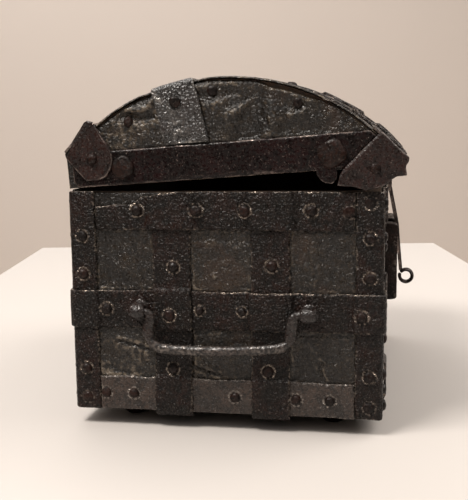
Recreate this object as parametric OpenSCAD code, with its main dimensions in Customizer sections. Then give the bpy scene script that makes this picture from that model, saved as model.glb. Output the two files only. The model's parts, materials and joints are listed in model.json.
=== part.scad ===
// Small iron-bound coffer with a domed lid, used as a collection box.
// The front, with the lock, faces -Y. The ends face -X and +X. The hinges are at +Y.
// The lid and its hasp are drawn slightly ajar; the closed lid is `ajar` degrees lower.

/* [Box] */
// Length over the end irons
body_l = 180; // [160:1:220]
// Depth over the front and back irons
body_w = 130; // [126:1:140]
// Height of the wooden box
body_h = 92.5; // [88:0.5:110]
// Thickness of the wall boards
board_t = 7; // [5:0.5:9]
// Thickness of the leather covering
hide_t = 0.8; // [0.5:0.1:1.2]
// Height of the feet
foot_h = 7; // [6:0.5:10]

/* [Irons] */
// Thickness of the iron straps
iron_t = 1.2; // [1:0.1:1.4]
// Width of the upright straps
strap_w = 16; // [12:1:18]
// Width of each leg of a corner iron
corner_w = 11.5; // [9:0.5:13]
// Height of the straps round the rim
rim_w = 15.7; // [13:0.1:17]
// Height of the waist band
waist_w = 16; // [14:0.5:17]
// Depth of the waist band's middle below the rim
waist_drop = 49; // [48:0.5:50]
// Height of the straps along the foot
base_w = 14.5; // [12:0.5:16]
// Distance of the front and back upright straps from the middle
cross_x = 50; // [50:1:54]

/* [Lid] */
// Radius of the leather on the dome
dome_r = 90; // [89:0.5:91]
// Depth of the dome's axis below the rim
dome_drop = 49.2; // [48.8:0.1:49.6]
// Angle by which the lid stands ajar
ajar = 3.9; // [3.5:0.1:4]
// Length of the coin slot
slot_l = 36; // [30:1:40]
// Width of the coin slot
slot_w = 6; // [5:0.5:7]

/* [Handles] */
// Distance of each handle eye from the middle
eye_y = 35.2; // [34:0.1:37]
// Thickness of the handle bar
bail_d = 3.6; // [3:0.1:4]
// Depth of the hanging bar below its eyes
bail_drop = 16.5; // [15:0.5:18]

/* [Hidden] */
$fn = 48;

wood = [0.30, 0.20, 0.13];
hide = [0.25, 0.24, 0.20];
iron = [0.17, 0.13, 0.12];
worn = [0.24, 0.19, 0.17];
eps = 0.01;

// Heights, and the surfaces that the irons lie on
top = foot_h + body_h;
half_l = body_l / 2 - iron_t;
half_w = body_w / 2 - iron_t;
wood_l = half_l - hide_t;
wood_w = half_w - hide_t;
waist_z = top - waist_drop;

// Upright straps on the ends: the middle of each, along Y
long_front_y = -19.5;
long_back_y = 21.3;
half_s = strap_w / 2;
cross_bumps = concat(
    over(-cross_x - half_s, -cross_x + half_s),
    over(cross_x - half_s, cross_x + half_s));
long_bumps = concat(
    over(long_front_y - half_s, long_front_y + half_s),
    over(long_back_y - half_s, long_back_y + half_s));
base_steps = [[foot_h - iron_t, iron_t], [foot_h + base_w + 0.2, iron_t], [foot_h + base_w + 1.6, 0]];
rim_end = [[top - 1, 0]];
rear_waist = over(waist_z - waist_w / 2, waist_z + waist_w / 2);

// Rivets: their height, and the middle lines that they stand on
rivet_h = 1.1;
corner_mid = body_w / 2 - corner_w / 2;
corner_mid_l = body_l / 2 - corner_w / 2;
rim_z = top - rim_w / 2;
base_z = foot_h + base_w / 2;

// The lid's hinge, and the lid's own surfaces
hinge_y = body_w / 2 + 2.6;
hinge_z = top + 0.2;
knuckle_r = 2.1;
hinge_pin_r = 1.0;
middle_w = 6.4;
run = 0.05;
side_gap = 0.3;
dome_y = 0.9;
dome_z = top - dome_drop;
crown_t = 6.2;
lid_gap = 1;
lid_back = wood_w + 0.5;
lid_end = half_l + 0.5;
lid_wood = lid_end - hide_t;
wood_r = dome_r - hide_t;
under_r = wood_r - crown_t;
eave_z = top + 3;
eave_out = lid_end + 2 * iron_t + 0.2;
eave_back_a = [45.2, 57];
long_back_a = [74.1, 85.7];
long_front_a = [117.7, 126.5];
end_board_t = 6;
// The end strap of the dome stands clear of the crown's leather
fold_gap = 0.7;
// The lid's box for cutting, larger than the lid
far = 200;

// The hasp's pivot with the lid shut, and the lock
hasp_y = -body_w / 2 - 2.5;
hasp_z = top + 1;
hasp_pin_r = 0.7;
hasp_knuckle_r = 1.5;
hasp_t = 1.3;
hasp_w = 12;
ring_r = 4;
ring_hole_r = 3;
lock_lo = [-19, top - 61];
lock_hi = [40.2, top - 17];
lock_face = half_w + iron_t;
case_in = 7.2;
case_out = 34;
case_d = 5.8;
case_top = top - 20.5;
case_h = 37;
case_wall = 1;
bolt_z = top - 37.3;
bolt_y = -body_w / 2 - 2.9;
bolt_t = 1.4;
bolt_h = 4.4;
bolt_l = 24;
bolt_x = 7.6;
key_x = 22;
key_z = top - 48;

// Handles: the axis of the eyes
bail_x = body_l / 2 + iron_t + 2.6;
bail_z = waist_z;
arm_y = 30.5;
bail_end_r = 1.4;
eye_w = 5;
eye_r = 3.3;

// A point of the shut lid, [y, z], when the lid stands ajar
function lifted(p) = [
    hinge_y + (p[0] - hinge_y) * cos(ajar) + (p[1] - hinge_z) * sin(ajar),
    hinge_z - (p[0] - hinge_y) * sin(ajar) + (p[1] - hinge_z) * cos(ajar)];
pivot = lifted([hasp_y, hasp_z]);
// The middle line of the hanging hasp, and the middle of its finger ring
hasp_line = [
    [pivot[0], pivot[1]], [-66.9, top - 4], [-70.5, top - 22.2],
    [-71.4, top - 33.2], [-72.3, top - 42.5], [-72.5, top - 45]];
ring = [-75.1, top - 48.2];
// Middle of the whole object, front to back
mid_y = (hinge_y + knuckle_r + ring[0] - ring_r) / 2;

module in_place() {
    translate([0, -mid_y, 0]) children();
}

module ajar_lid() {
    in_place()
    translate([0, hinge_y, hinge_z]) rotate([-ajar, 0, 0]) translate([0, -hinge_y, -hinge_z])
        children();
}

module block(lo, hi) {
    translate(lo) cube(hi - lo);
}

// Extrudes an outline drawn in Y and Z, from x0 to x1
module along_x(x0, x1) {
    translate([x0, 0, 0]) rotate([90, 0, 90]) linear_extrude(x1 - x0) children();
}

// Extrudes an outline drawn in X and Z, from y0 to y1
module along_y(y0, y1) {
    translate([0, y1, 0]) rotate([90, 0, 0]) linear_extrude(y1 - y0) children();
}

// A strap's outline: steps are [place, height of its underside]
module stepped(steps) {
    n = len(steps) - 1;
    polygon(concat(
        steps,
        [for (i = [n:-1:0]) [steps[i][0], steps[i][1] + iron_t]]));
}

// Steps that rise by one thickness between a and b
function over(a, b, ramp = 1.6) = [[a - ramp, 0], [a - 0.2, iron_t], [b + 0.2, iron_t], [b + ramp, 0]];

// ---------------------------------------------------------------- wooden box

module bottom_board() {
    color(wood) in_place()
    block([-wood_l + board_t, -wood_w + board_t, foot_h],
        [wood_l - board_t, wood_w - board_t, foot_h + board_t]);
}

module long_board(side) {
    color(wood) in_place()
    at_side_y(side) block([-wood_l, wood_w - board_t, foot_h], [wood_l, wood_w, top]);
}

module end_board(side) {
    color(wood) in_place()
    at_side_x(side) block([wood_l - board_t, -wood_w + board_t, foot_h], [wood_l, wood_w - board_t, top]);
}

module at_side_x(side) {
    if (side > 0) children();
    else mirror([1, 0, 0]) children();
}

module at_side_y(side) {
    if (side > 0) children();
    else mirror([0, 1, 0]) children();
}

module body_leather() {
    color(hide) in_place() difference() {
        block([-half_l, -half_w, foot_h], [half_l, half_w, top]);
        block([-wood_l, -wood_w, foot_h - 1], [wood_l, wood_w, top + 1]);
    }
}

// ---------------------------------------------------------------- irons of the box

module corner_iron(side_x, side_y) {
    color(iron) in_place() at_side_x(side_x) at_side_y(side_y) {
        translate([half_l, half_w + iron_t - corner_w, foot_h]) cube([iron_t, corner_w - iron_t, body_h]);
        translate([half_l + iron_t - corner_w, half_w, foot_h]) cube([corner_w - iron_t, iron_t, body_h]);
        intersection() {
            translate([half_l, half_w, foot_h]) cube([iron_t, iron_t, body_h]);
            translate([half_l, half_w, foot_h]) cylinder(r = iron_t, h = body_h);
        }
    }
}

// Straps between the corner irons, with a bump over each upright strap in bumps
module face_strap_long(side, z0, z1, bumps) {
    end = half_l + iron_t - corner_w - 0.1;
    color(iron) in_place() at_side_y(side)
    translate([0, half_w, z0]) linear_extrude(z1 - z0)
        stepped(concat([[-end, 0]], bumps, [[end, 0]]));
}

module face_strap_end(side, z0, z1, bumps) {
    end = half_w + iron_t - corner_w - 0.1;
    color(iron) in_place() at_side_x(side)
    translate([half_l, 0, z0]) rotate([0, 0, 90]) mirror([0, 1, 0]) linear_extrude(z1 - z0)
        stepped(concat([[-end, 0]], bumps, [[end, 0]]));
}

module rim_strap_front() {
    face_strap_long(-1, top - rim_w, top, cross_bumps);
}

module rim_strap_back() {
    face_strap_long(1, top - rim_w, top, []);
}

module rim_strap_end(side) {
    face_strap_end(side, top - rim_w, top, long_bumps);
}

module base_strap_long(side) {
    face_strap_long(side, foot_h, foot_h + base_w, []);
}

module base_strap_end(side) {
    face_strap_end(side, foot_h, foot_h + base_w, []);
}

// The waist band lies over the corner irons and the uprights, except the rear end uprights
module waist_band() {
    lo = waist_z - waist_w / 2;
    reach_l = half_l + 2 * iron_t;
    reach_w = half_w + 2 * iron_t;
    in_l = half_l + iron_t - corner_w;
    in_w = half_w + iron_t - corner_w;
    left_stop = lock_lo[0] - 0.2;
    right_stop = lock_hi[0] + 0.2;
    end_steps = concat(
        [[-reach_w, iron_t], [-in_w, iron_t], [-in_w + 1.5, 0]],
        over(long_front_y - half_s, long_front_y + half_s),
        [[in_w - 1.5, 0], [in_w, iron_t], [reach_w, iron_t]]);
    back_steps = concat(
        [[-reach_l, iron_t], [-in_l, iron_t], [-in_l + 1.5, 0]],
        cross_bumps,
        [[in_l - 1.5, 0], [in_l, iron_t], [reach_l, iron_t]]);
    left_steps = concat(
        [[-reach_l, iron_t], [-in_l, iron_t], [-in_l + 1.5, 0]],
        over(-cross_x - half_s, -cross_x + half_s),
        [[left_stop, 0]]);
    right_steps = [[right_stop, iron_t], [in_l, iron_t], [reach_l, iron_t]];
    color(iron) in_place() {
        for (side = [-1, 1]) at_side_x(side)
            translate([half_l, 0, lo]) rotate([0, 0, 90]) mirror([0, 1, 0])
            linear_extrude(waist_w) stepped(end_steps);
        translate([0, half_w, lo]) linear_extrude(waist_w) stepped(back_steps);
        mirror([0, 1, 0]) translate([0, half_w, lo]) linear_extrude(waist_w) stepped(left_steps);
        mirror([0, 1, 0]) translate([0, half_w, lo]) linear_extrude(waist_w) stepped(right_steps);
    }
}

// Long straps run down one end, under the bottom and up the other end
module long_strap(mid, waist_steps) {
    lo = mid - half_s;
    hi = mid + half_s;
    color(iron) in_place() {
        for (side = [-1, 1]) at_side_x(side) translate([half_l, 0, 0]) along_y(lo, hi)
            mirror([1, -1]) stepped(concat(base_steps, waist_steps, rim_end));
        block([-half_l - 2 * iron_t, lo, foot_h - iron_t], [half_l + 2 * iron_t, hi, foot_h]);
    }
}

module long_strap_front() {
    long_strap(long_front_y, []);
}

module long_strap_back() {
    long_strap(long_back_y, rear_waist);
}

// Cross straps run down the front, under the long straps and up the back to a hinge knuckle
module cross_strap(side) {
    mid = side * cross_x;
    lo = mid - half_s;
    hi = mid + half_s;
    under = foot_h - 2 * iron_t;
    foot_steps = [[under, iron_t], [foot_h + base_w + 0.2, iron_t], [foot_h + base_w + 1.6, 0]];
    back_top = [[top - rim_w - 1.6, 0], [top - rim_w - 0.2, iron_t], [hinge_z, iron_t]];
    color(iron) in_place() difference() {
        union() {
            mirror([0, 1, 0]) translate([0, half_w, 0]) along_x(lo, hi)
                mirror([1, -1]) stepped(concat(foot_steps, rim_end));
            translate([0, half_w, 0]) along_x(lo, hi)
                mirror([1, -1]) stepped(concat(foot_steps, back_top));
            block([lo, -half_w - 2 * iron_t, under], [hi, half_w + 2 * iron_t, under + iron_t]);
            knuckle(mid - half_s, mid + half_s);
        }
        bore(lo, hi, hinge_pin_r);
        for (s = [-1, 1]) lid_knuckle_room(mid, s);
    }
}

module knuckle(x0, x1) {
    translate([x0, hinge_y, hinge_z]) rotate([0, 90, 0]) cylinder(r = knuckle_r, h = x1 - x0);
}

module bore(x0, x1, r) {
    translate([x0 - 1, hinge_y, hinge_z]) rotate([0, 90, 0]) cylinder(r = r, h = x1 - x0 + 2);
}

// Space for the lid's outer knuckles, either side of the box's middle one
module lid_knuckle_room(mid, s) {
    room_r = knuckle_r + side_gap;
    x0 = mid + s * (middle_w / 2 + half_s + 1) / 2;
    w = half_s + 1 - middle_w / 2;
    translate([x0 - w / 2, hinge_y, hinge_z]) rotate([0, 90, 0]) cylinder(r = room_r, h = w);
    translate([x0 - w / 2, hinge_y - 2.6 * knuckle_r, hinge_z - 0.2])
        cube([w, 2.6 * knuckle_r, 4]);
}

// ---------------------------------------------------------------- rivets and feet

// A hammered rivet head, drawn on the plane z = 0
module rivet(r = 2.3, h = rivet_h) {
    cylinder(r1 = r, r2 = 0.6 * r, h = h, $fn = 20);
}

module rivet_on_end(y, z, level, r = 2.3, h = rivet_h) {
    translate([half_l + level * iron_t, y, z]) rotate([0, 90, 0]) rivet(r, h);
}

module rivet_on_long(x, z, level, r = 2.3, h = rivet_h) {
    translate([x, half_w + level * iron_t, z]) rotate([-90, 0, 0]) rivet(r, h);
}

module end_rivets(side) {
    color(worn) in_place() at_side_x(side) {
        for (y = [35.4, -36]) rivet_on_end(y, rim_z, 1);
        for (y = [10.6, -9.4]) rivet_on_end(y, rim_z, 2);
        // Worn flat, where the lid's front tab passes
        rivet_on_end(-50.9, rim_z, 1, 2.3, 0.2);
        rivet_on_end(-corner_mid, top - 4.4, 1, 2.3, 0.2);
        for (s = [-1, 1]) {
            rivet_on_end(s * corner_mid, top - 18.4, 1);
            rivet_on_end(s * corner_mid, top - 34.4, 1);
            rivet_on_end(s * corner_mid, top - 74.8, 1);
            rivet_on_end(s * corner_mid, top - 87.5, 1, 2.3, 0.5);
        }
        rivet_on_end(49.6, waist_z, 1);
        rivet_on_end(-56.1, waist_z - 1, 2);
        for (y = [9.8, -7.8]) rivet_on_end(y, waist_z, 1, 1.8);
        rivet_on_end(20.6, top - 31, 1);
        rivet_on_end(22.5, waist_z - 2, 2);
        rivet_on_end(21.6, top - 73.9, 1);
        rivet_on_end(-20.2, top - 30, 1);
        rivet_on_end(-18.4, top - 73.9, 1);
        for (y = [51, 38.8, -4.5, -29.8, -43.6]) rivet_on_end(y, base_z, 1, 2.1);
    }
}

module long_rivets(side) {
    color(worn) in_place() at_side_y(side) {
        for (s = [-1, 1]) {
            for (z = [top - 4.6, top - 18.4, top - 34.4, top - 74.8, top - 87.5])
                rivet_on_long(s * corner_mid_l, z, 1);
            rivet_on_long(s * cross_x, top - 27, 1);
            rivet_on_long(s * cross_x, top - 68, 1);
            // The band's right front piece lies one thickness higher
            rivet_on_long(s * 70, waist_z, side < 0 && s > 0 ? 2 : 1);
            for (x = [20, 70]) rivet_on_long(s * x, base_z, 1);
            rivet_on_long(s * 70, rim_z, 1);
            rivet_on_long(s * 28, rim_z, 1);
        }
        for (x = side > 0 ? [-30, 0, 30] : [-30]) rivet_on_long(x, waist_z, 1);
    }
}

module feet() {
    color(worn) in_place()
    for (sx = [-1, 1], sy = [-1, 1])
        translate([sx * 70, sy * 44, 0]) {
            cylinder(r1 = 4, r2 = 6.5, h = 3);
            translate([0, 0, 3]) cylinder(r1 = 6.5, r2 = 5, h = foot_h - 3);
        }
}

// ---------------------------------------------------------------- handles

module handle_eyes(side) {
    color(worn) in_place() at_side_x(side)
    for (s = [-1, 1]) difference() {
        union() {
            translate([bail_x, s * eye_y - eye_w / 2, bail_z]) rotate([-90, 0, 0])
                cylinder(r = eye_r, h = eye_w);
            block([half_l + iron_t, s * eye_y - eye_w / 2, bail_z - 2],
                [bail_x, s * eye_y + eye_w / 2, bail_z + 2]);
        }
        translate([bail_x, s * eye_y - eye_w, bail_z]) rotate([-90, 0, 0])
            cylinder(r = bail_end_r + 2 * run, h = 2 * eye_w);
    }
}

// A bar bent down from both eyes, with round elbows
module handle(side) {
    bend = 5;
    top_bend = 2.4;
    color(iron) in_place() at_side_x(side) translate([bail_x, 0, bail_z]) {
        for (s = [-1, 1]) {
            translate([0, s * (arm_y + top_bend), 0]) rotate([-90 * s, 0, 0])
                cylinder(r = bail_end_r, h = eye_y + eye_w / 2 + 1 - arm_y - top_bend);
            translate([0, s * (arm_y + top_bend), -top_bend]) at_side_y(s) rotate([0, 90, 0])
                rotate([0, 0, 180]) rotate_extrude(angle = 90)
                translate([top_bend, 0]) circle(r = bail_end_r);
            translate([0, s * arm_y, -bail_drop + bend])
                cylinder(r = bail_end_r, h = bail_drop - bend - top_bend);
            translate([0, s * (arm_y - bend), -bail_drop + bend]) at_side_y(s) rotate([0, 90, 0])
                rotate_extrude(angle = 90) translate([bend, 0]) circle(r = bail_end_r);
        }
        translate([0, -arm_y + bend, -bail_drop]) rotate([-90, 0, 0])
            cylinder(r = bail_d / 2, h = 2 * (arm_y - bend));
    }
}

// ---------------------------------------------------------------- lock

module lock_plate() {
    color(iron) in_place()
    block([lock_lo[0], -lock_face, lock_lo[1]], [lock_hi[0], -half_w, lock_hi[1]]);
}

module keyhole() {
    translate([key_x, -lock_face - case_d - 1, key_z]) rotate([-90, 0, 0]) cylinder(r = 2.2, h = 3);
    block([key_x - 0.9, -lock_face - case_d - 1, key_z - 6], [key_x + 0.9, -lock_face - case_d + 2, key_z]);
}

// The raised case holds the bolt; its left wall guides the hasp
module lock_case() {
    color(worn) in_place() difference() {
        block([case_in, -lock_face - case_d, case_top - case_h], [case_out, -lock_face, case_top]);
        block([case_in + case_wall, -lock_face - case_d + case_wall, case_top - case_h + case_wall],
            [case_out - case_wall, -lock_face + 1, case_top - case_wall]);
        block([case_in - 1, bolt_y - 0.3, bolt_z - bolt_h / 2 - 0.2],
            [case_in + 2, bolt_y + bolt_t + 0.3, bolt_z + bolt_h / 2 + 0.2]);
        keyhole();
    }
}

module bolt_keep() {
    color(worn) in_place() difference() {
        block([-case_in - 8.3, -lock_face - case_d, case_top - case_h], [-case_in, -lock_face, case_top]);
        block([-case_in - 3, bolt_y - 0.3, bolt_z - bolt_h / 2 - 0.2],
            [-case_in + 1, bolt_y + bolt_t + 0.3, bolt_z + bolt_h / 2 + 0.2]);
    }
}

module lock_bolt() {
    color("silver") in_place() {
        block([bolt_x, bolt_y, bolt_z - bolt_h / 2], [bolt_x + bolt_l, bolt_y + bolt_t, bolt_z + bolt_h / 2]);
        translate([bolt_x + bolt_l - 3.5, bolt_y - 1.2, bolt_z]) rotate([-90, 0, 0])
            cylinder(r = 0.7, h = 1.3);
    }
}

module bolt_guides() {
    color(worn) in_place() for (x = [11, 26]) difference() {
        block([x, -lock_face - 3.4, bolt_z - 4.5], [x + 2.5, -lock_face, bolt_z + 4.5]);
        block([x - 1, -lock_face - 4, bolt_z - bolt_h / 2 - 0.2],
            [x + 4, bolt_y + bolt_t + 0.1, bolt_z + bolt_h / 2 + 0.2]);
    }
}

// A leaf spring that presses on the bolt's upper edge
module lock_spring() {
    spring_t = 0.5;
    z0 = bolt_z + bolt_h / 2 + 0.3;
    color("silver") in_place() along_y(bolt_y, bolt_y + bolt_t)
        polygon([
            [31, z0 + 8], [31, z0 + 8 + spring_t], [30, z0 + 8 + spring_t], [20, z0 + 1 + spring_t],
            [16, z0 + spring_t], [16, z0], [20, z0 + 1], [30, z0 + 8]]);
}

module key_pin() {
    color("silver") in_place() translate([key_x, -lock_face - 4.4, key_z]) rotate([-90, 0, 0])
        cylinder(r = 0.9, h = 4.4);
}

module lock_rivets() {
    inset = 2.6;
    color(worn) in_place() at_side_y(-1)
    for (x = [lock_lo[0] + 1.9, lock_hi[0] - inset], z = [lock_lo[1] + 3.4, lock_hi[1] - 3.4])
        rivet_on_long(x, z, 1, 1.6, 0.9);
}

// ---------------------------------------------------------------- hinges

module hinge_pins() {
    head_r = 1.7;
    head_h = 0.8;
    color(worn) in_place() for (s = [-1, 1])
    translate([s * cross_x - half_s, hinge_y, hinge_z]) rotate([0, 90, 0]) {
        cylinder(r = hinge_pin_r, h = strap_w);
        translate([0, 0, -head_h]) cylinder(r = head_r, h = head_h);
        translate([0, 0, strap_w]) cylinder(r = head_r, h = head_h);
    }
}

// ---------------------------------------------------------------- wooden lid

// Part of a tube about the dome's axis, between two angles up from the back
module shell(r0, r1, a0, a1, x0, x1, fine = 96) {
    translate([x0, dome_y, dome_z]) rotate([90, 0, 90]) rotate([0, 0, a0])
        rotate_extrude(angle = a1 - a0, $fn = fine) translate([r0, 0]) square([r1 - r0, x1 - x0]);
}

// Angle up from the back of the point of a circle at height z, on the front side
function drop_angle(r, z) = 180 - asin((z - dome_z) / r);

module slot_cut() {
    block([-slot_l / 2, dome_y - slot_w / 2, top + 20], [slot_l / 2, dome_y + slot_w / 2, top + 60]);
}

module lid_crown() {
    color(wood) ajar_lid() difference() {
        shell(under_r, wood_r, 30, 160, -lid_wood, lid_wood);
        block([-far, -far, -far], [far, far, eave_z]);
        block([-far, lid_back, -far], [far, far, far]);
        slot_cut();
    }
}

module lid_end_board(side) {
    color(wood) ajar_lid() at_side_x(side) intersection() {
        translate([lid_wood - end_board_t, dome_y, dome_z]) rotate([0, 90, 0])
            cylinder(r = under_r, h = end_board_t, $fn = 96);
        block([0, -far, top + lid_gap], [far, lid_back, far]);
    }
}

module lid_rail(y0, y1) {
    color(wood) ajar_lid() intersection() {
        translate([-far, dome_y, dome_z]) rotate([0, 90, 0]) cylinder(r = under_r, h = 2 * far, $fn = 96);
        block([-lid_wood + end_board_t, y0, top + lid_gap], [lid_wood - end_board_t, y1, far]);
    }
}

module lid_front_rail() {
    lid_rail(-wood_w + 0.5, -wood_w + board_t + 1);
}

module lid_back_rail() {
    lid_rail(lid_back - board_t - 1, lid_back);
}

// One hide over the dome, the back and both ends
module lid_leather() {
    skin = lid_back + hide_t;
    color(hide) ajar_lid() {
        difference() {
            shell(wood_r, dome_r, 30, 160, -lid_end - fold_gap, lid_end + fold_gap);
            block([-far, -far, -far], [far, far, eave_z]);
            block([-far, skin, -far], [far, far, far]);
            slot_cut();
        }
        for (side = [-1, 1]) at_side_x(side) intersection() {
            translate([lid_wood, dome_y, dome_z]) rotate([0, 90, 0])
                cylinder(r = wood_r + eps, h = hide_t, $fn = 96);
            block([0, -far, top + lid_gap], [far, lid_back, far]);
        }
        difference() {
            block([-lid_end, lid_back, top + lid_gap], [lid_end, skin, top + 20]);
            difference() {
                block([-far, lid_back - 1, top + 5], [far, skin + 1, far]);
                translate([-far, dome_y, dome_z]) rotate([0, 90, 0])
                    cylinder(r = dome_r - eps, h = 2 * far, $fn = 96);
            }
        }
    }
}

// ---------------------------------------------------------------- irons of the lid

module lid_foot_strap(side) {
    foot_strap_w = 14.2;
    color(iron) ajar_lid() at_side_x(side) intersection() {
        block([lid_end, -75, top + lid_gap], [lid_end + iron_t, 61.6, top + lid_gap + foot_strap_w]);
        translate([lid_end - 1, dome_y, dome_z]) rotate([0, 90, 0])
            cylinder(r = wood_r - 0.3, h = 5, $fn = 96);
    }
}

// The eave strap of the front, with a tab folded down over each end
module lid_eave_front() {
    tab = [[-65.2, 15.9], [-74.2, 3.6], [-73.1, -3.1], [-69.1, -3.2], [-64.7, -6.2], [-57.3, -7.8],
        [-46.3, -5.1], [-49.1, 1.6], [-64.2, 14.6]];
    a0 = drop_angle(dome_r, top + 15.9);
    a1 = drop_angle(dome_r, top + 3.2);
    color(iron) ajar_lid() {
        shell(dome_r, dome_r + iron_t, a0, a1, -eave_out, eave_out);
        for (side = [-1, 1]) at_side_x(side) {
            translate([0, 0, top]) along_x(eave_out - iron_t, eave_out) polygon(tab);
            shell(dome_r - 1.6, dome_r + iron_t, a0, a1, eave_out - iron_t, eave_out);
        }
    }
}

module lid_eave_back() {
    tab = [[54.2, 27.3], [50.5, 27.1], [45.4, 17.7], [43.7, 11.4], [47, 4.8], [52.5, 3.5], [55.5, 3.4],
        [63.8, 14.4]];
    a0 = eave_back_a[0];
    a1 = eave_back_a[1];
    color(iron) ajar_lid() {
        shell(dome_r, dome_r + iron_t, a0, a1, -eave_out, eave_out);
        for (side = [-1, 1]) at_side_x(side) {
            translate([0, 0, top]) along_x(eave_out - iron_t, eave_out) polygon(tab);
            shell(dome_r - 1.6, dome_r + iron_t, a0, a1, eave_out - iron_t, eave_out);
        }
    }
}

// Straps along the dome. The back one folds down over both ends.
module lid_long_strap_back() {
    mid = (long_back_a[0] + long_back_a[1]) / 2;
    out = lid_end + fold_gap + iron_t;
    fold_l = 22.8;
    color(iron) ajar_lid() {
        shell(dome_r, dome_r + iron_t, long_back_a[0], long_back_a[1], -out, out);
        for (side = [-1, 1]) at_side_x(side)
            translate([out - iron_t, dome_y, dome_z]) rotate([90, 0, 90]) rotate([0, 0, mid])
            translate([dome_r - fold_l, -9, 0]) cube([fold_l, 18, iron_t]);
    }
}

module lid_long_strap_front() {
    color(iron) ajar_lid()
    shell(dome_r, dome_r + iron_t, long_front_a[0], long_front_a[1], -lid_end, lid_end);
}

// A band over the dome from the hinge to the front eave, raised over what it crosses
module lid_hinge(side) {
    mid = side * cross_x;
    x0 = mid - half_s;
    x1 = mid + half_s;
    step = 0.5;
    layer = dome_r + iron_t;
    eave_a = drop_angle(dome_r, top + 15.9);
    first = eave_back_a[0] - step;
    last = drop_angle(layer, top + 3.2);
    lowered = [
        [eave_back_a[1] + step, long_back_a[0] - step],
        [long_back_a[1] + step, long_front_a[0] - step],
        [long_front_a[1] + step, eave_a - step]];
    bridged = [[first - 1, eave_back_a[1]], long_back_a, long_front_a, [eave_a, last + 1]];
    leaf = lid_back + hide_t + iron_t;
    inside_arc = [64.1, top + 17.4];
    color(iron) ajar_lid() difference() {
        union() {
            difference() {
                shell(dome_r, layer + iron_t, first, last, x0, x1);
                for (a = lowered) shell(layer, layer + 5, a[0], a[1], x0 - 1, x1 + 1);
                for (a = bridged) shell(dome_r - 5, layer, a[0], a[1], x0 - 1, x1 + 1);
            }
            along_x(x0, x1) polygon([
                [leaf, hinge_z], [leaf, top + 15.1], inside_arc, [leaf + iron_t, top + 15.4],
                [leaf + iron_t, hinge_z]]);
            knuckle(x0, x1);
        }
        bore(x0, x1, hinge_pin_r + run);
        translate([mid - middle_w / 2 - side_gap, hinge_y - 2.2 * knuckle_r, hinge_z - 3])
            cube([middle_w + 2 * side_gap, 6 * knuckle_r, 3 + knuckle_r + side_gap]);
    }
}

// A rivet on the dome, at an angle up from the back
module rivet_on_dome(a, x, level, r = 2.3, h = rivet_h) {
    translate([x, dome_y, dome_z]) rotate([a - 90, 0, 0])
    translate([0, 0, dome_r + level * iron_t]) rivet(r, h);
}

module rivet_on_lid_end(y, z, off, r, h) {
    translate([lid_end + off, y, z]) rotate([0, 90, 0]) rivet(r, h);
}

module lid_rivets() {
    tab_off = 2 * iron_t + 0.2;
    color(worn) ajar_lid() {
        for (side = [-1, 1]) at_side_x(side) {
            rivet_on_lid_end(36.2, top + 26.2, 0, 2.2, 1);
            rivet_on_lid_end(0.7, top + 35.8, 0, 2.2, 1);
            rivet_on_lid_end(-33.1, top + 28.1, 0, 2.2, 1);
            rivet_on_lid_end(15.9, top + 32.6, fold_gap + iron_t, 2.3, 1);
            rivet_on_lid_end(52.3, top + 12.5, tab_off, 2.3, 0.9);
            rivet_on_lid_end(-61.4, top + 0.5, tab_off, 2.3, 0.9);
            rivet_on_lid_end(39.9, top + 8.1, iron_t, 4.5, 1.9);
            rivet_on_lid_end(-45, top + 7.3, iron_t, 5.7, 2);
        }
        for (x = [-70, -25, 25, 70]) {
            rivet_on_dome((long_back_a[0] + long_back_a[1]) / 2, x, 1);
            rivet_on_dome((long_front_a[0] + long_front_a[1]) / 2, x, 1);
            rivet_on_dome(51, x, 1);
            rivet_on_dome(139, x, 1);
        }
        for (x = [-cross_x, cross_x], a = [65, 95, 108]) rivet_on_dome(a, x, 1);
    }
}

module slot_plate() {
    plate_a = 3.9;
    margin = 8;
    color(worn) ajar_lid() difference() {
        shell(dome_r, dome_r + iron_t, 90 - plate_a, 90 + plate_a, -slot_l / 2 - margin, slot_l / 2 + margin);
        slot_cut();
    }
}

// ---------------------------------------------------------------- hasp

module hasp_hinge_plate() {
    w = hasp_w + 6;
    color(iron) ajar_lid() difference() {
        union() {
            block([-w / 2, hasp_y - 3, eave_z - iron_t], [w / 2, hasp_y + 2, eave_z]);
            translate([-w / 2, hasp_y, hasp_z]) rotate([0, 90, 0]) cylinder(r = hasp_knuckle_r, h = w);
        }
        translate([-w, hasp_y, hasp_z]) rotate([0, 90, 0]) cylinder(r = hasp_pin_r, h = 2 * w);
        translate([-hasp_w / 2 - side_gap, hasp_y - 2.4, hasp_z - 3]) cube([hasp_w + 2 * side_gap, 5.2, 6]);
    }
}

module hasp_pin() {
    w = hasp_w + 6;
    color(worn) ajar_lid() translate([-w / 2, hasp_y, hasp_z]) rotate([0, 90, 0])
        cylinder(r = hasp_pin_r, h = w);
}

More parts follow.
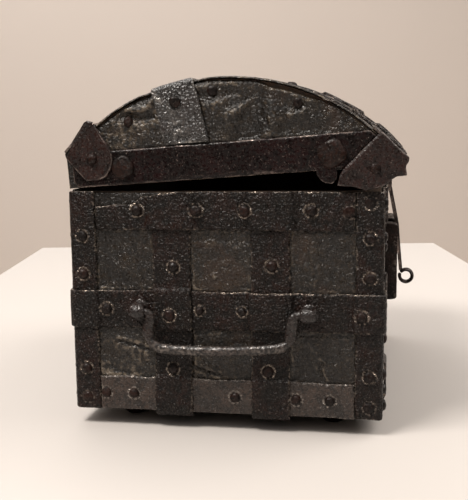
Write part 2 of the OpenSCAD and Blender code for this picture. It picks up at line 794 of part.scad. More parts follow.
// The hasp hangs from its pin, over the lock, and ends in a finger ring
module hasp() {
    half_t = hasp_t / 2;
    n = len(hasp_line) - 1;
    tip = [-68, top - 28.2];
    color(iron) in_place() {
        difference() {
            union() {
                along_x(-hasp_w / 2, hasp_w / 2) polygon(concat(
                    [for (i = [0:n - 1]) hasp_line[i] + [half_t, 0]],
                    [for (i = [n - 1:-1:0]) hasp_line[i] - [half_t, 0]]));
                translate([-hasp_w / 2, pivot[0], pivot[1]]) rotate([0, 90, 0])
                    cylinder(r = hasp_knuckle_r, h = hasp_w);
            }
            translate([-hasp_w, pivot[0], pivot[1]]) rotate([0, 90, 0])
                cylinder(r = hasp_pin_r + run, h = 2 * hasp_w);
        }
        along_x(-3, 3) polygon([
            hasp_line[n - 1] + [half_t, 0.5], hasp_line[n] + [half_t, 0], hasp_line[n] - [half_t + 0.6, 0],
            hasp_line[n - 1] - [half_t, -0.5]]);
        translate([-3, ring[0], ring[1]]) rotate([0, 90, 0]) difference() {
            cylinder(r = ring_r, h = 6);
            translate([0, 0, -1]) cylinder(r = ring_hole_r, h = 8);
        }
        // The staple that the bolt passes through
        along_x(-1.5, 1.5) difference() {
            polygon([
                tip + [0, 4.3], tip + [0, -4.3], tip + [-3.4, -4.3], tip + [-2.6, 4.3]]);
            polygon([
                tip + [-0.8, 2.9], tip + [-0.8, -2.9], tip + [-2.7, -2.9], tip + [-2.3, 2.9]]);
        }
    }
}

// ---------------------------------------------------------------- nodes

bottom_board();
long_board(-1);  // front_board
long_board(1);  // back_board
end_board(-1);  // left_end_board
end_board(1);  // right_end_board
body_leather();
corner_iron(-1, -1);  // corner_iron_front_left
corner_iron(1, -1);  // corner_iron_front_right
corner_iron(-1, 1);  // corner_iron_back_left
corner_iron(1, 1);  // corner_iron_back_right
rim_strap_front();
rim_strap_back();
rim_strap_end(-1);  // rim_strap_left
rim_strap_end(1);  // rim_strap_right
waist_band();
base_strap_long(-1);  // base_strap_front
base_strap_long(1);  // base_strap_back
base_strap_end(-1);  // base_strap_left
base_strap_end(1);  // base_strap_right
long_strap_front();
long_strap_back();
cross_strap(-1);  // cross_strap_left
cross_strap(1);  // cross_strap_right
long_rivets(-1);  // front_rivets
long_rivets(1);  // back_rivets
end_rivets(-1);  // left_end_rivets
end_rivets(1);  // right_end_rivets
feet();
handle_eyes(-1);  // left_handle_eyes
handle_eyes(1);  // right_handle_eyes
handle(-1);  // left_handle
handle(1);  // right_handle
lock_plate();
lock_case();
bolt_keep();
bolt_guides();
lock_bolt();
lock_spring();
key_pin();
lock_rivets();
hinge_pins();
lid_crown();
lid_end_board(-1);  // lid_left_end
lid_end_board(1);  // lid_right_end
lid_front_rail();
lid_back_rail();
lid_leather();
lid_foot_strap(-1);  // lid_foot_strap_left
lid_foot_strap(1);  // lid_foot_strap_right
lid_eave_front();
lid_eave_back();
lid_long_strap_front();
lid_long_strap_back();
lid_hinge(-1);  // lid_hinge_left
lid_hinge(1);  // lid_hinge_right
lid_rivets();
slot_plate();
hasp_hinge_plate();
hasp_pin();
hasp();
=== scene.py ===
"""Looks of a small, old, iron-bound coffer with a domed lid, used as a collection box.

Lengths here are in millimetres and become metres when a mesh is made. Most pieces are plates:
a grid laid on a surface, with a ragged outline, rounded edges, a hammered face and a closed back.
The lid's pieces are drawn on the shut lid, and ajar() turns them to the rest pose.
"""

import json
import math

import bpy
import numpy as np
from mathutils import Matrix, Vector


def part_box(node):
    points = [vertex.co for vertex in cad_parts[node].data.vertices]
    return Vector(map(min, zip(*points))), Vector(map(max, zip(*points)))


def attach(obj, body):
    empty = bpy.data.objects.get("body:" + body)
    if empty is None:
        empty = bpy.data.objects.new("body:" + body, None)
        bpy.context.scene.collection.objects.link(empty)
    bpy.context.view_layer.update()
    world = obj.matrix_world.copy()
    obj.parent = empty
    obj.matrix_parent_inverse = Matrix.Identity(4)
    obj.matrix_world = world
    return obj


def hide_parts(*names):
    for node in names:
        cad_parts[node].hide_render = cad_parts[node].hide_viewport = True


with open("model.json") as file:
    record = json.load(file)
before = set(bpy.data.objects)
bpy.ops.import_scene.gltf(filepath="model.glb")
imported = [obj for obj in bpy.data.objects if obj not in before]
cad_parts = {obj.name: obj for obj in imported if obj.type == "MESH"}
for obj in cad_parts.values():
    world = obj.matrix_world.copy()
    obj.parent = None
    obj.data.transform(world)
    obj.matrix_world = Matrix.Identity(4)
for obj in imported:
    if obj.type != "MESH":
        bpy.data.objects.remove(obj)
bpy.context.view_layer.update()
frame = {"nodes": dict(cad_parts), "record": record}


# ---------------------------------------------------------------- sizes, from the frame


def node_box(name):
    """Lowest and highest corner of a CAD node, in millimetres."""
    lo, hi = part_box(name)
    return np.array(lo) * 1000, np.array(hi) * 1000


LEATHER_LO, LEATHER_HI = node_box("body_leather")
PLATE_LO, PLATE_HI = node_box("lock_plate")
PINS_LO, PINS_HI = node_box("hinge_pins")

# The box over its hide: half its length and depth, its middle, its foot and its rim
HALF_L = LEATHER_HI[0]
HALF_W = (LEATHER_HI[1] - LEATHER_LO[1]) / 2
MID_Y = (LEATHER_HI[1] + LEATHER_LO[1]) / 2
FOOT = LEATHER_LO[2]
TOP = LEATHER_HI[2]

# Thickness of the hide and of the irons
HIDE = 0.8
IRON = 1.2

# Widths of the irons; HALF_S is half a strap. A strap's place is that of its middle line
CORNER_W = 11.5
HALF_S = 8.0
RIM_W = 15.7
BASE_W = 14.5
WAIST_Z = TOP - 49.0
LONG_FRONT_Y = -19.5
LONG_BACK_Y = 21.3
CROSS_X = 50.0

# The shut lid: the dome's radius and axis, the lid's back and ends, and the eaves' outer faces
DOME_R = 90.0
DOME_Y = 0.9
DOME_Z = TOP - 49.2
LID_BACK = HALF_W - HIDE + 0.5
LID_END = HALF_L + 0.5
FOLD_GAP = 0.7
ENDS = (("left", -1), ("right", 1))
EAVE_OUT = LID_END + 2 * IRON + 0.2
AJAR = math.radians(3.9)

# Angles up from the back, about the dome's axis, of the straps that run along the dome
BACK_EAVE = (46.0, 57.0)
BACK_STRAP = (74.1, 85.7)
FRONT_STRAP = (117.7, 126.5)


def front_angle(height, radius=DOME_R):
    """The angle of the dome's front side at a height over the rim, on the shut lid."""
    return 180 - math.degrees(math.asin((TOP + height - DOME_Z) / radius))


FRONT_EAVE = (front_angle(15.9), front_angle(3.2))


# The hinges: knuckles, and the pin's place in Y from the box's middle and in Z
KNUCKLE_R = 2.0
KNUCKLE_W = 6.4
HINGE = ((PINS_LO[1] + PINS_HI[1]) / 2 - MID_Y, (PINS_LO[2] + PINS_HI[2]) / 2)


# ---------------------------------------------------------------- noise


def lattice(i, j, k, seed):
    """A repeatable value from -1 to 1 for each whole-number point."""
    n = (i * 374761393 + j * 668265263 + k * 1103515245 + seed * 974634777) & 0xFFFFFFFF
    n = ((n ^ (n >> 13)) * 1274126177) & 0xFFFFFFFF
    return ((n ^ (n >> 16)) & 0xFFFF) / 32767.5 - 1


def noise(p, size, seed=0):
    """Smooth noise from -1 to 1 at the points p, with bumps about size wide."""
    q = np.asarray(p, float) / size
    cell = np.floor(q).astype(np.int64)
    f = q - cell
    f = f * f * f * (f * (f * 6 - 15) + 10)
    total = 0
    for di in (0, 1):
        for dj in (0, 1):
            for dk in (0, 1):
                w = 1
                for axis, d in enumerate((di, dj, dk)):
                    w = w * (f[..., axis] if d else 1 - f[..., axis])
                total = total + w * lattice(
                    cell[..., 0] + di, cell[..., 1] + dj, cell[..., 2] + dk, seed
                )
    return total


def layered(p, size, octaves=3, seed=0):
    """Noise summed over octaves, each half as wide and half as strong."""
    total, weight = 0, 0
    for n in range(octaves):
        total = total + noise(p, size / 2**n, seed + 17 * n) / 2**n
        weight += 1 / 2**n
    return total / weight


def xyz(x, y, z):
    """Points from their coordinates; a single number counts for all of them."""
    return np.stack(np.broadcast_arrays(x, y, z), -1)


def line_noise(s, size, seed):
    """Noise along one coordinate."""
    return noise(xyz(s, 0.37, seed * 3.1), size, seed)


def smooth(x, lo, hi):
    """0 below lo, 1 above hi, smooth between."""
    f = np.clip((x - lo) / (hi - lo), 0, 1)
    return f * f * (3 - 2 * f)


def between(x, lo, hi, ramp):
    """1 from lo to hi, falling to 0 within ramp on either side."""
    return smooth(x, lo - ramp, lo) * (1 - smooth(x, hi, hi + ramp))


# ---------------------------------------------------------------- meshes


def make_object(name, verts, quads, ngons=(), material=None, wear=None):
    """A mesh object from vertices in millimetres. wear is a value per vertex for the material."""
    verts = np.asarray(verts, float).reshape(-1, 3) * 0.001
    quads = np.asarray(quads, np.int64).reshape(-1, 4)
    loops = [quads.ravel()] + [np.asarray(g, np.int64) for g in ngons]
    totals = np.concatenate([np.full(len(quads), 4), [len(g) for g in ngons]]).astype(np.int32)
    loops = np.concatenate(loops).astype(np.int32)
    mesh = bpy.data.meshes.new(name)
    mesh.vertices.add(len(verts))
    mesh.vertices.foreach_set("co", verts.ravel())
    mesh.loops.add(len(loops))
    mesh.loops.foreach_set("vertex_index", loops)
    mesh.polygons.add(len(totals))
    mesh.polygons.foreach_set("loop_start", (np.cumsum(totals) - totals).astype(np.int32))
    mesh.polygons.foreach_set("loop_total", totals)
    mesh.update(calc_edges=True)
    mesh.validate()
    mesh.polygons.foreach_set("use_smooth", np.ones(len(mesh.polygons), bool))
    mesh.set_sharp_from_angle(angle=math.radians(50))
    if wear is not None:
        layer = mesh.attributes.new("wear", "FLOAT", "POINT")
        layer.data.foreach_set("value", np.asarray(wear, np.float32).ravel())
    if material:
        mesh.materials.append(material)
    obj = bpy.data.objects.new(name, mesh)
    bpy.context.scene.collection.objects.link(obj)
    return obj


class Part:
    """Collects several closed shells that make one piece."""

    def __init__(self):
        self.verts, self.quads, self.ngons, self.wear = [], [], [], []
        self.count = 0

    def add(self, shell):
        """Takes one closed shell: vertices, quads, other faces and wear."""
        verts, quads, ngons, wear = shell
        verts = np.asarray(verts, float).reshape(-1, 3)
        self.verts.append(verts)
        self.quads.append(np.asarray(quads).reshape(-1, 4) + self.count)
        self.ngons += [np.asarray(g) + self.count for g in ngons]
        self.wear.append(np.asarray(wear, float).ravel())
        self.count += len(verts)
        return self

    def build(self, name, material, body, node):
        """Makes the piece; it rides a body and stands in for one CAD node."""
        obj = make_object(
            name, np.concatenate(self.verts), np.concatenate(self.quads), self.ngons,
            material, np.concatenate(self.wear))
        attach(obj, body)
        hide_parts(node)
        SLOTS.get(material, "iron")


def loft(rings):
    """Quads and end faces between rings of equal length. Rings run counter-clockwise seen
    from the last one."""
    n, m = rings.shape[:2]
    i, j = np.meshgrid(np.arange(n - 1), np.arange(m), indexing="ij")
    k = (j + 1) % m
    quads = np.stack([i * m + j, i * m + k, (i + 1) * m + k, (i + 1) * m + j], -1).reshape(-1, 4)
    return quads, [np.arange(m)[::-1], np.arange(m) + (n - 1) * m]


EDGE_IN = (0.0, 0.0, 0.24, 0.75)
EDGE_UP = (0.0, 0.4, 0.82, 1.0)


def edge_steps(n_mid):
    """For one direction of a plate: (which edge, inset, fraction) of each line, and its height."""
    lines = [("lo", a, 0, up) for a, up in zip(EDGE_IN, EDGE_UP)]
    lines += [("mid", 0, (k + 1) / (n_mid + 1), 1.0) for k in range(n_mid)]
    lines += [("hi", a, 0, up) for a, up in zip(EDGE_IN[::-1], EDGE_UP[::-1])]
    return lines


def place(lines, lo, hi):
    """Positions of the lines between lo and hi."""
    width = hi - lo
    inner = np.minimum(EDGE_IN[-1], 0.25 * width)
    out = []
    for kind, inset, fraction, _ in lines:
        step = np.minimum(inset, 0.25 * width)
        if kind == "lo":
            out.append(lo + step)
        elif kind == "hi":
            out.append(hi - step)
        else:
            out.append(lo + inner + fraction * (width - 2 * inner))
    return np.stack(out, -1)


def plate(surface, s0, s1, t_lo, t_hi, thick=IRON, pitch=0.8, lift=None, relief=None,
          ragged=0.25, ragged_size=7, seed=1, wear_gain=1.0, mids=None, t_pitch=None,
          more_wear=None):
    """A closed plate on a surface, of about one grid line per pitch.

    surface(s, t) gives points and normals. t_lo and t_hi are numbers or functions of s.
    lift(points) is the height of the underside, relief(points) shapes the outer face.
    mids may give the places of the inner lines along s, and t_pitch their spacing along t.
    more_wear(points) adds to the wear: real wear, and in places painted light and painted highlights.
    """
    lo_of = t_lo if callable(t_lo) else (lambda s: 0 * s + t_lo)
    hi_of = t_hi if callable(t_hi) else (lambda s: 0 * s + t_hi)
    n_s = max(2, int((s1 - s0) / pitch)) if mids is None else len(mids)
    samples = np.linspace(s0, s1, 9)
    widest = float(np.max(hi_of(samples) - lo_of(samples)))
    n_t = max(1, int(widest / (t_pitch or pitch)))
    s_lines = edge_steps(n_s)[1:-1]
    t_lines = edge_steps(n_t)
    s_at = place(s_lines, np.array([s0]), np.array([s1]))[0]
    if mids is not None:
        s_at[3:-3] = mids
    lo = lo_of(s_at) + ragged * line_noise(s_at, ragged_size, seed)
    hi = hi_of(s_at) + ragged * line_noise(s_at, ragged_size, seed + 5)
    t = place(t_lines, lo, hi)
    s = np.repeat(s_at[:, None], t.shape[1], 1)
    at_ends = np.minimum(s - s0, s1 - s)
    end_noise = np.where(s - s0 < s1 - s, line_noise(t, ragged_size, seed + 9),
                         -line_noise(t, ragged_size, seed + 13))
    s = s + ragged * end_noise * np.exp(-np.maximum(at_ends, 0) / 1.5)
    up_s = np.array([line[3] for line in s_lines])[:, None]
    up_t = np.array([line[3] for line in t_lines])[None, :]
    up = np.minimum(up_s, up_t)
    point, normal = surface(s, t)
    under = lift(point) if lift else 0.0
    shape = relief(point) if relief else 0.0 * s
    height = under + thick * up + shape * np.where(up > 0.4, up, 0)
    verts = point + normal * height[..., None]
    edge = np.minimum(np.minimum(t - lo[:, None], hi[:, None] - t), at_ends)
    spread = 0.45 + 0.6 * layered(point, 5, 2, seed + 31)
    proud = shape - blurred(shape, 3)
    wear = np.exp(-np.maximum(edge, 0) / 0.4) * np.clip(spread, 0, 1)
    wear = wear + 0.22 + 1.5 * np.clip(proud, -0.2, 0.2)
    if more_wear:
        wear = wear + more_wear(point)
    wear = np.clip(wear * wear_gain, 0, 1)
    quads, ngons = loft(verts)
    i, j = verts.shape[0] // 2, t.shape[1] // 2
    facing = np.cross(verts[i, j + 1] - verts[i, j], verts[i + 1, j] - verts[i, j])
    shell = verts.reshape(-1, 3), quads, ngons, wear.reshape(-1)
    return shell if facing @ normal[i, j] > 0 else flipped(shell)


def raised(height):
    """A lift that is the same everywhere."""
    return lambda p: height + 0 * p[..., 0]


def blurred(values, reach):
    """A grid of values averaged over a few neighbours each way."""
    out = np.array(values, float)
    for axis in (0, 1):
        ends = [(reach, reach) if k == axis else (0, 0) for k in (0, 1)]
        padded = np.pad(out, ends, "edge")
        total = np.cumsum(padded, axis)
        total = np.concatenate([np.zeros_like(np.take(total, [0], axis)), total], axis)
        n = out.shape[axis]
        width = 2 * reach + 1
        out = (np.take(total, np.arange(width, n + width), axis)
               - np.take(total, np.arange(n), axis)) / width
    return out


def flipped(shell):
    """The same shell with its faces turned round, for a mirrored piece."""
    verts, quads, ngons, wear = shell
    return verts, np.asarray(quads)[:, ::-1], [np.asarray(g)[::-1] for g in ngons], wear


# ---------------------------------------------------------------- surfaces


def lengths(route):
    """Length along a route up to each of its points."""
    return np.concatenate([[0], np.cumsum(np.linalg.norm(np.diff(route, axis=0), axis=1))])


def looked_up(at, length, route):
    """Points of a route at given lengths along it."""
    return np.stack([np.interp(at, length, route[:, k]) for k in range(route.shape[1])], -1)


def full_turn(count):
    """Evenly spaced angles round a circle."""
    return np.linspace(0, 2 * math.pi, count, endpoint=False)


def rounded(before, p, after, radius):
    """Points of the arc that takes a corner's place, or the corner alone where it is straight."""
    a, b = before - p, after - p
    a, b = a / np.linalg.norm(a), b / np.linalg.norm(b)
    turn = math.acos(np.clip(-a @ b, -1, 1))
    if turn < 1e-4:
        return [p]
    reach = radius * math.tan(turn / 2)
    centre = p + (a + b) / np.linalg.norm(a + b) * radius / math.cos(turn / 2)
    start, stop = p + a * reach - centre, p + b * reach - centre
    return [centre + (start * math.sin((1 - f) * turn) + stop * math.sin(f * turn)) / math.sin(turn)
            for f in np.linspace(0, 1, 9)]


class Track:
    """A flat route with rounded corners: places and outward normals along its length."""

    def __init__(self, points, radius=0.8, closed=False):
        pts = [np.array(p, float) for p in points]
        out = []
        for i, p in enumerate(pts):
            is_end = not closed and i in (0, len(pts) - 1)
            out += [p] if is_end else rounded(pts[i - 1], p, pts[(i + 1) % len(pts)], radius)
        if closed:
            out.append(out[0])
        self.p = np.array(out)
        self.s = lengths(self.p)
        self.length = self.s[-1]
        along = np.diff(self.p, axis=0)
        along = along / np.linalg.norm(along, axis=1)[:, None]
        at = (self.s[1:] + self.s[:-1]) / 2
        if closed:
            at = np.concatenate([at[-1:] - self.length, at, at[:1] + self.length])
            along = np.concatenate([along[-1:], along, along[:1]])
        self.at, self.along = at, along

    def __call__(self, s):
        if len(self.p) > 2 and np.allclose(self.p[0], self.p[-1]):
            s = np.mod(s, self.length)
        p = looked_up(s, self.s, self.p)
        d = looked_up(s, self.at, self.along)
        d /= np.linalg.norm(d, axis=-1, keepdims=True)
        return p, np.stack([d[..., 1], -d[..., 0]], -1)


def round_box(half_l, half_w):
    """The box's outline seen from above, counter-clockwise from the middle of the back."""
    return Track(
        [(0, half_w), (-half_l, half_w), (-half_l, -half_w), (half_l, -half_w), (half_l, half_w)],
        closed=True)


def standing(track):
    """Surface of upright walls: s runs round the track in X and Y, t is the height."""

    def surface(s, t):
        p, n = track(s)
        return xyz(p[..., 0], p[..., 1] + MID_Y, t), xyz(n[..., 0], n[..., 1], 0)

    return surface


def crossways(track):
    """Surface that follows a track in X and Z; t is the place along Y."""

    def surface(s, t):
        p, n = track(s)
        return xyz(p[..., 0], t + MID_Y, p[..., 1]), xyz(n[..., 0], 0, n[..., 1])

    return surface


def lengthways(track, on_lid=False):
    """Surface that follows a track in Y and Z; t is the place along X."""

    def surface(s, t):
        p, n = track(s)
        point, normal = xyz(t, p[..., 0] + MID_Y, p[..., 1]), xyz(0, n[..., 0], n[..., 1])
        return (ajar(point), turn_ajar(normal)) if on_lid else (point, normal)

    return surface


def turn_ajar(v):
    """Turns directions of the shut lid to the rest pose."""
    c, s = math.cos(AJAR), math.sin(AJAR)
    return xyz(v[..., 0], v[..., 1] * c + v[..., 2] * s, v[..., 2] * c - v[..., 1] * s)


def ajar(points):
    """Moves points of the shut lid to the rest pose."""
    pivot = np.array([0, HINGE[0] + MID_Y, HINGE[1]])
    return turn_ajar(points - pivot) + pivot


def lid_face(corner, normal):
    """Surface of a flat face of the lid; corner(s, t) gives its x, y and z on the shut lid."""

    def surface(s, t):
        point = xyz(*corner(s, t))
        return ajar(point), turn_ajar(np.array(normal) + 0 * point)

    return surface


def lid_end_face(x, side):
    """Surface of one end of the lid: s is the place along Y, t the height."""
    return lid_face(lambda y, z: (side * x, y + MID_Y, z), (side, 0, 0))


def dome_arc(a0, a1, radius=DOME_R, tail=()):
    """Track over the dome in Y and Z, from one angle up from the back to another."""
    a = np.radians(np.linspace(a0, a1, max(3, int(abs(a1 - a0) * 1.2))))
    arc = [(DOME_Y + radius * math.cos(k), DOME_Z + radius * math.sin(k)) for k in a]
    return Track(list(tail) + arc, radius=0.8)


# ---------------------------------------------------------------- lumps and bars


def frame_of(normal):
    """Two directions square to a normal."""
    n = np.asarray(normal, float) / np.linalg.norm(normal)
    side = np.array([0, 0, 1.0]) if abs(n[2]) < 0.9 else np.array([1.0, 0, 0])
    u = np.cross(side, n)
    u /= np.linalg.norm(u)
    return u, np.cross(n, u), n


def lump(point, normal, profile, around, wobble, facets, seed, sink=0.0):
    """A closed round boss: profile is (radius, height) from its foot to its crown.

    facets hammers that many flats into its crown.
    """
    u, v, n = frame_of(normal)
    turn = full_turn(around)
    direction = np.stack([np.cos(turn), np.sin(turn)], -1)
    reach = 1 + wobble * noise(np.concatenate([direction, 0 * turn[:, None] + seed * 2.7], -1), 0.9, seed)
    rings, wear = [], []
    top = profile[-1][1]
    widest = max(r for r, _ in profile)
    rng = np.random.default_rng(seed)
    planes = [(rng.uniform(0, 2 * math.pi), rng.uniform(0.45, 0.8), rng.uniform(0.25, 0.6))
              for _ in range(facets)]
    for r, h in profile:
        flat = direction * (r * reach)[:, None]
        z = np.full(around, float(h))
        for angle, height, slope in planes:
            along = (flat[:, 0] * math.cos(angle) + flat[:, 1] * math.sin(angle)) / widest
            limit = top * (height + 0.42 - slope * (along + 0.1))
            z = np.where(h > 0.3 * top, np.minimum(z, np.maximum(limit, 0.3 * top)), z)
        if h > 0:
            z = z + 0.05 * top * noise(xyz(flat[:, 0], flat[:, 1], z + seed), 0.8, seed)
        rings.append(point + flat[:, :1] * u + flat[:, 1:] * v + (z - sink)[:, None] * n)
        wear.append(np.full(around, 0.1 + 0.22 * max(0, h / top - 0.35)))
    rings = np.array(rings)
    quads, ngons = loft(rings)
    return rings.reshape(-1, 3), quads, ngons, np.concatenate(wear)


def rivet_profile(r, h):
    """A hammered dome with a small flat rim."""
    return [(r, 0), (r, 0.2 * h), (0.94 * r, 0.42 * h), (0.8 * r, 0.7 * h), (0.6 * r, 0.9 * h),
            (0.36 * r, 0.99 * h), (0.14 * r, h)]


def rivet(point, normal, r, h, seed, facets=2):
    """A hammered rivet head of radius r and height h."""
    return lump(np.asarray(point, float), normal, rivet_profile(r, h), 20, 0.09, facets, seed, 0.1)


def bar(route, radius, around, rough, seed, size, wear_and_highlight_at=None):
    """A closed forged bar along a route. radius is a number or one value per point."""
    p = np.asarray(route, float)
    radius = np.broadcast_to(np.asarray(radius, float), (len(p),))
    along = np.gradient(p, axis=0)
    along /= np.linalg.norm(along, axis=1)[:, None]
    u = frame_of(along[0])[0]
    rings = []
    turn = full_turn(around)
    for k in range(len(p)):
        u = u - along[k] * (u @ along[k])
        u /= np.linalg.norm(u)
        v = np.cross(along[k], u)
        rings.append(p[k] + radius[k] * (np.cos(turn)[:, None] * u + np.sin(turn)[:, None] * v))
    rings = np.array(rings)
    bumps = rough * radius[:, None] * layered(rings, size, 2, seed)
    rings = rings + (rings - p[:, None]) / np.maximum(radius, 1e-6)[:, None, None] * bumps[..., None]
    quads, ngons = loft(rings)
    wear = 0.25 + 2.0 * bumps / np.maximum(radius[:, None], 0.3)
    if wear_and_highlight_at is not None:
        wear = wear + wear_and_highlight_at(rings)
    return rings.reshape(-1, 3), quads, ngons, np.clip(wear, 0, 1).ravel()


def rod(x0, x1, y, z, radius, around, rough, seed):
    """A closed bar along X, with one radius for each of its rings."""
    return bar(xyz(np.linspace(x0, x1, len(radius)), y, z), radius, around, rough, seed, 2)


def stretched(shell, axis, factor, about=0.0):
    """The shell made wider along one axis about a place on it."""
    verts = np.array(shell[0])
    verts[:, axis] = about + (verts[:, axis] - about) * factor
    return (verts,) + tuple(shell[1:])


def curve_through(points, count):
    """Evenly spaced points on a smooth curve through the given ones."""
    p = np.asarray(points, float)
    ext = np.concatenate([[2 * p[0] - p[1]], p, [2 * p[-1] - p[-2]]])
    out = []
    for i in range(1, len(ext) - 2):
        for f in np.linspace(0, 1, 12, endpoint=False):
            a, b, c, d = ext[i - 1:i + 3]
            out.append(0.5 * (2 * b + (c - a) * f + (2 * a - 5 * b + 4 * c - d) * f**2
                              + (3 * b - a - 3 * c + d) * f**3))
    out.append(p[-1])
    out = np.array(out)
    length = lengths(out)
    return looked_up(np.linspace(0, length[-1], count), length, out)


def capped(radius, count, taper=2):
    """Radii for a bar whose two ends are rounded."""
    r = np.full(count, float(radius))
    for k in range(taper):
        f = math.sqrt(1 - (1 - (k + 0.6) / (taper + 0.6)) ** 2)
        r[k] *= f
        r[-1 - k] *= f
    return r


def sheet_piece(outline, place_at, thick, seed, ragged, bevel, rings, relief):
    """A closed plate with a free outline that its middle can see all of.

    outline is a list of flat points. place_at(flat points, height) puts them in space, and
    relief(flat points) shapes the outer face.
    """
    p = np.asarray(outline, float)
    loop = np.concatenate([p, p[:1]])
    length = lengths(loop)
    count = max(24, int(length[-1] / 0.7))
    at = np.linspace(0, length[-1], count, endpoint=False)
    edge = looked_up(at, length, loop)
    area = 0.5 * np.sum(loop[:-1, 0] * loop[1:, 1] - loop[1:, 0] * loop[:-1, 1])
    if area < 0:
        edge = edge[::-1]
    middle = edge.mean(0)
    out = edge - middle
    reach = np.linalg.norm(out, axis=1, keepdims=True)
    wave = ragged * np.stack([line_noise(at, 4, seed) + 0.5 * line_noise(at, 1.3, seed + 2)], -1)
    edge = edge + out / reach * wave
    insets = [(0, 0), (0, 0.5 * thick), (bevel * 0.35, 0.86 * thick), (bevel, thick)]
    insets += [(None, f) for f in np.linspace(0, 1, rings + 1)[1:]]
    shells, wear = [], []
    for inset, h in insets:
        if inset is None:
            f = 1 - np.minimum(bevel / reach, 0.4)
            flat = middle + (edge - middle) * f * max(1 - h, 0.02)
            height = np.full(count, thick)
            worn = 0.12 * np.ones(count)
        else:
            flat = edge - out / reach * np.minimum(inset, 0.4 * reach)
            height = np.full(count, float(h))
            worn = np.full(count, 0.6 if h > 0.6 * thick else 0.25)
        height = height + np.where(height > 0.7 * thick, relief(flat), 0)
        shells.append(place_at(flat, height))
        wear.append(worn * (0.7 + 0.5 * noise(shells[-1], 3, seed + 4)))
    shells = np.array(shells)
    quads, ngons = loft(shells)
    return shells.reshape(-1, 3), quads, ngons, np.clip(np.concatenate(wear), 0, 1)


# ---------------------------------------------------------------- materials


def feed(tree, node, inputs):
    """Fills a node's sockets: inputs maps a socket's name or number to a value or an output."""
    for key, value in inputs.items():
        if isinstance(value, bpy.types.NodeSocket):
            tree.links.new(value, node.inputs[key])
        else:
            node.inputs[key].default_value = value


def add_node(tree, kind, inputs=None, **settings):
    """A shader node with its sockets filled."""
    node = tree.nodes.new(kind)
    for key, value in settings.items():
        setattr(node, key, value)
    feed(tree, node, inputs or {})
    return node


def colour(r, g, b):
    """A linear colour from one given as seen on a screen, 0 to 255."""
    return tuple((c / 255 / 12.92 if c <= 10 else ((c / 255 + 0.055) / 1.055) ** 2.4)
                 for c in (r, g, b)) + (1.0,)


def grain(tree, where, scale, detail=4, roughness=0.6, distortion=0.0):
    """Noise from about 0.25 to 0.75, with scale features to the metre."""
    return add_node(tree, "ShaderNodeTexNoise", {
        "Vector": where, "Scale": scale, "Detail": detail, "Roughness": roughness,
        "Distortion": distortion}).outputs["Fac"]


def ramp(tree, value, lo, hi, to_lo=0.0, to_hi=1.0):
    """Maps a value smoothly from one range to another."""
    return add_node(tree, "ShaderNodeMapRange", {
        "Value": value, "From Min": lo, "From Max": hi, "To Min": to_lo, "To Max": to_hi},
        interpolation_type="SMOOTHSTEP").outputs["Result"]


def blend_colours(tree, fac, a, b):
    """Colour a where fac is 0, b where it is 1."""
    return add_node(tree, "ShaderNodeMix", {0: fac, 6: a, 7: b}, data_type="RGBA").outputs[2]


def coat(tree, base, tint, value, lo, hi, to_lo=0.0, to_hi=1.0):
    """The base colour with a tint over it, as strong as the value's ramp says."""
    return blend_colours(tree, ramp(tree, value, lo, hi, to_lo, to_hi), base, tint)


def arithmetic(tree, operation, a, b=0.0):
    """One sum of two values."""
    return add_node(tree, "ShaderNodeMath", {0: a, 1: b}, operation=operation).outputs[0]


def bumped(tree, height, strength, distance, normal=None):
    """A normal bent by a height; distance is in metres."""
    inputs = {"Height": height, "Strength": strength, "Distance": distance}
    if normal is not None:
        inputs["Normal"] = normal
    return add_node(tree, "ShaderNodeBump", inputs).outputs["Normal"]


def new_material(name):
    """A material with its tree, shader and object coordinates."""
    material = bpy.data.materials.new(name)
    material.use_nodes = True
    tree = material.node_tree
    shader = tree.nodes["Principled BSDF"]
    where = add_node(tree, "ShaderNodeTexCoord").outputs["Object"]
    return material, tree, shader, where


def wear_of(tree):
    """The wear kept on the mesh, 0 to 1: mostly real wear, in places painted highlights and painted light.
    """
    return add_node(tree, "ShaderNodeAttribute", attribute_name="wear").outputs["Fac"]


def pebbled(tree, where, size, coarse, fine, depth):
    """A rough skin: round pebbles of a given number to the metre over slow waves, with fine pits."""
    wander = add_node(tree, "ShaderNodeTexNoise", {"Vector": where, "Scale": 0.8 * size}).outputs["Color"]
    bent = add_node(tree, "ShaderNodeVectorMath", {0: wander, 1: (0.6 / size,) * 3}, operation="MULTIPLY")
    bent = add_node(tree, "ShaderNodeVectorMath", {0: where, 1: bent.outputs[0]}, operation="ADD")
    cells = add_node(tree, "ShaderNodeTexVoronoi", {"Vector": bent.outputs[0], "Scale": float(size),
                                                    "Smoothness": 0.5},
                     feature="SMOOTH_F1").outputs["Distance"]
    normal = bumped(tree, fine, 0.25, 0.0002 * depth)
    normal = bumped(tree, cells, 1.0, -0.0006 * depth, normal)
    return bumped(tree, coarse, 1.0, 0.0012 * depth, normal)


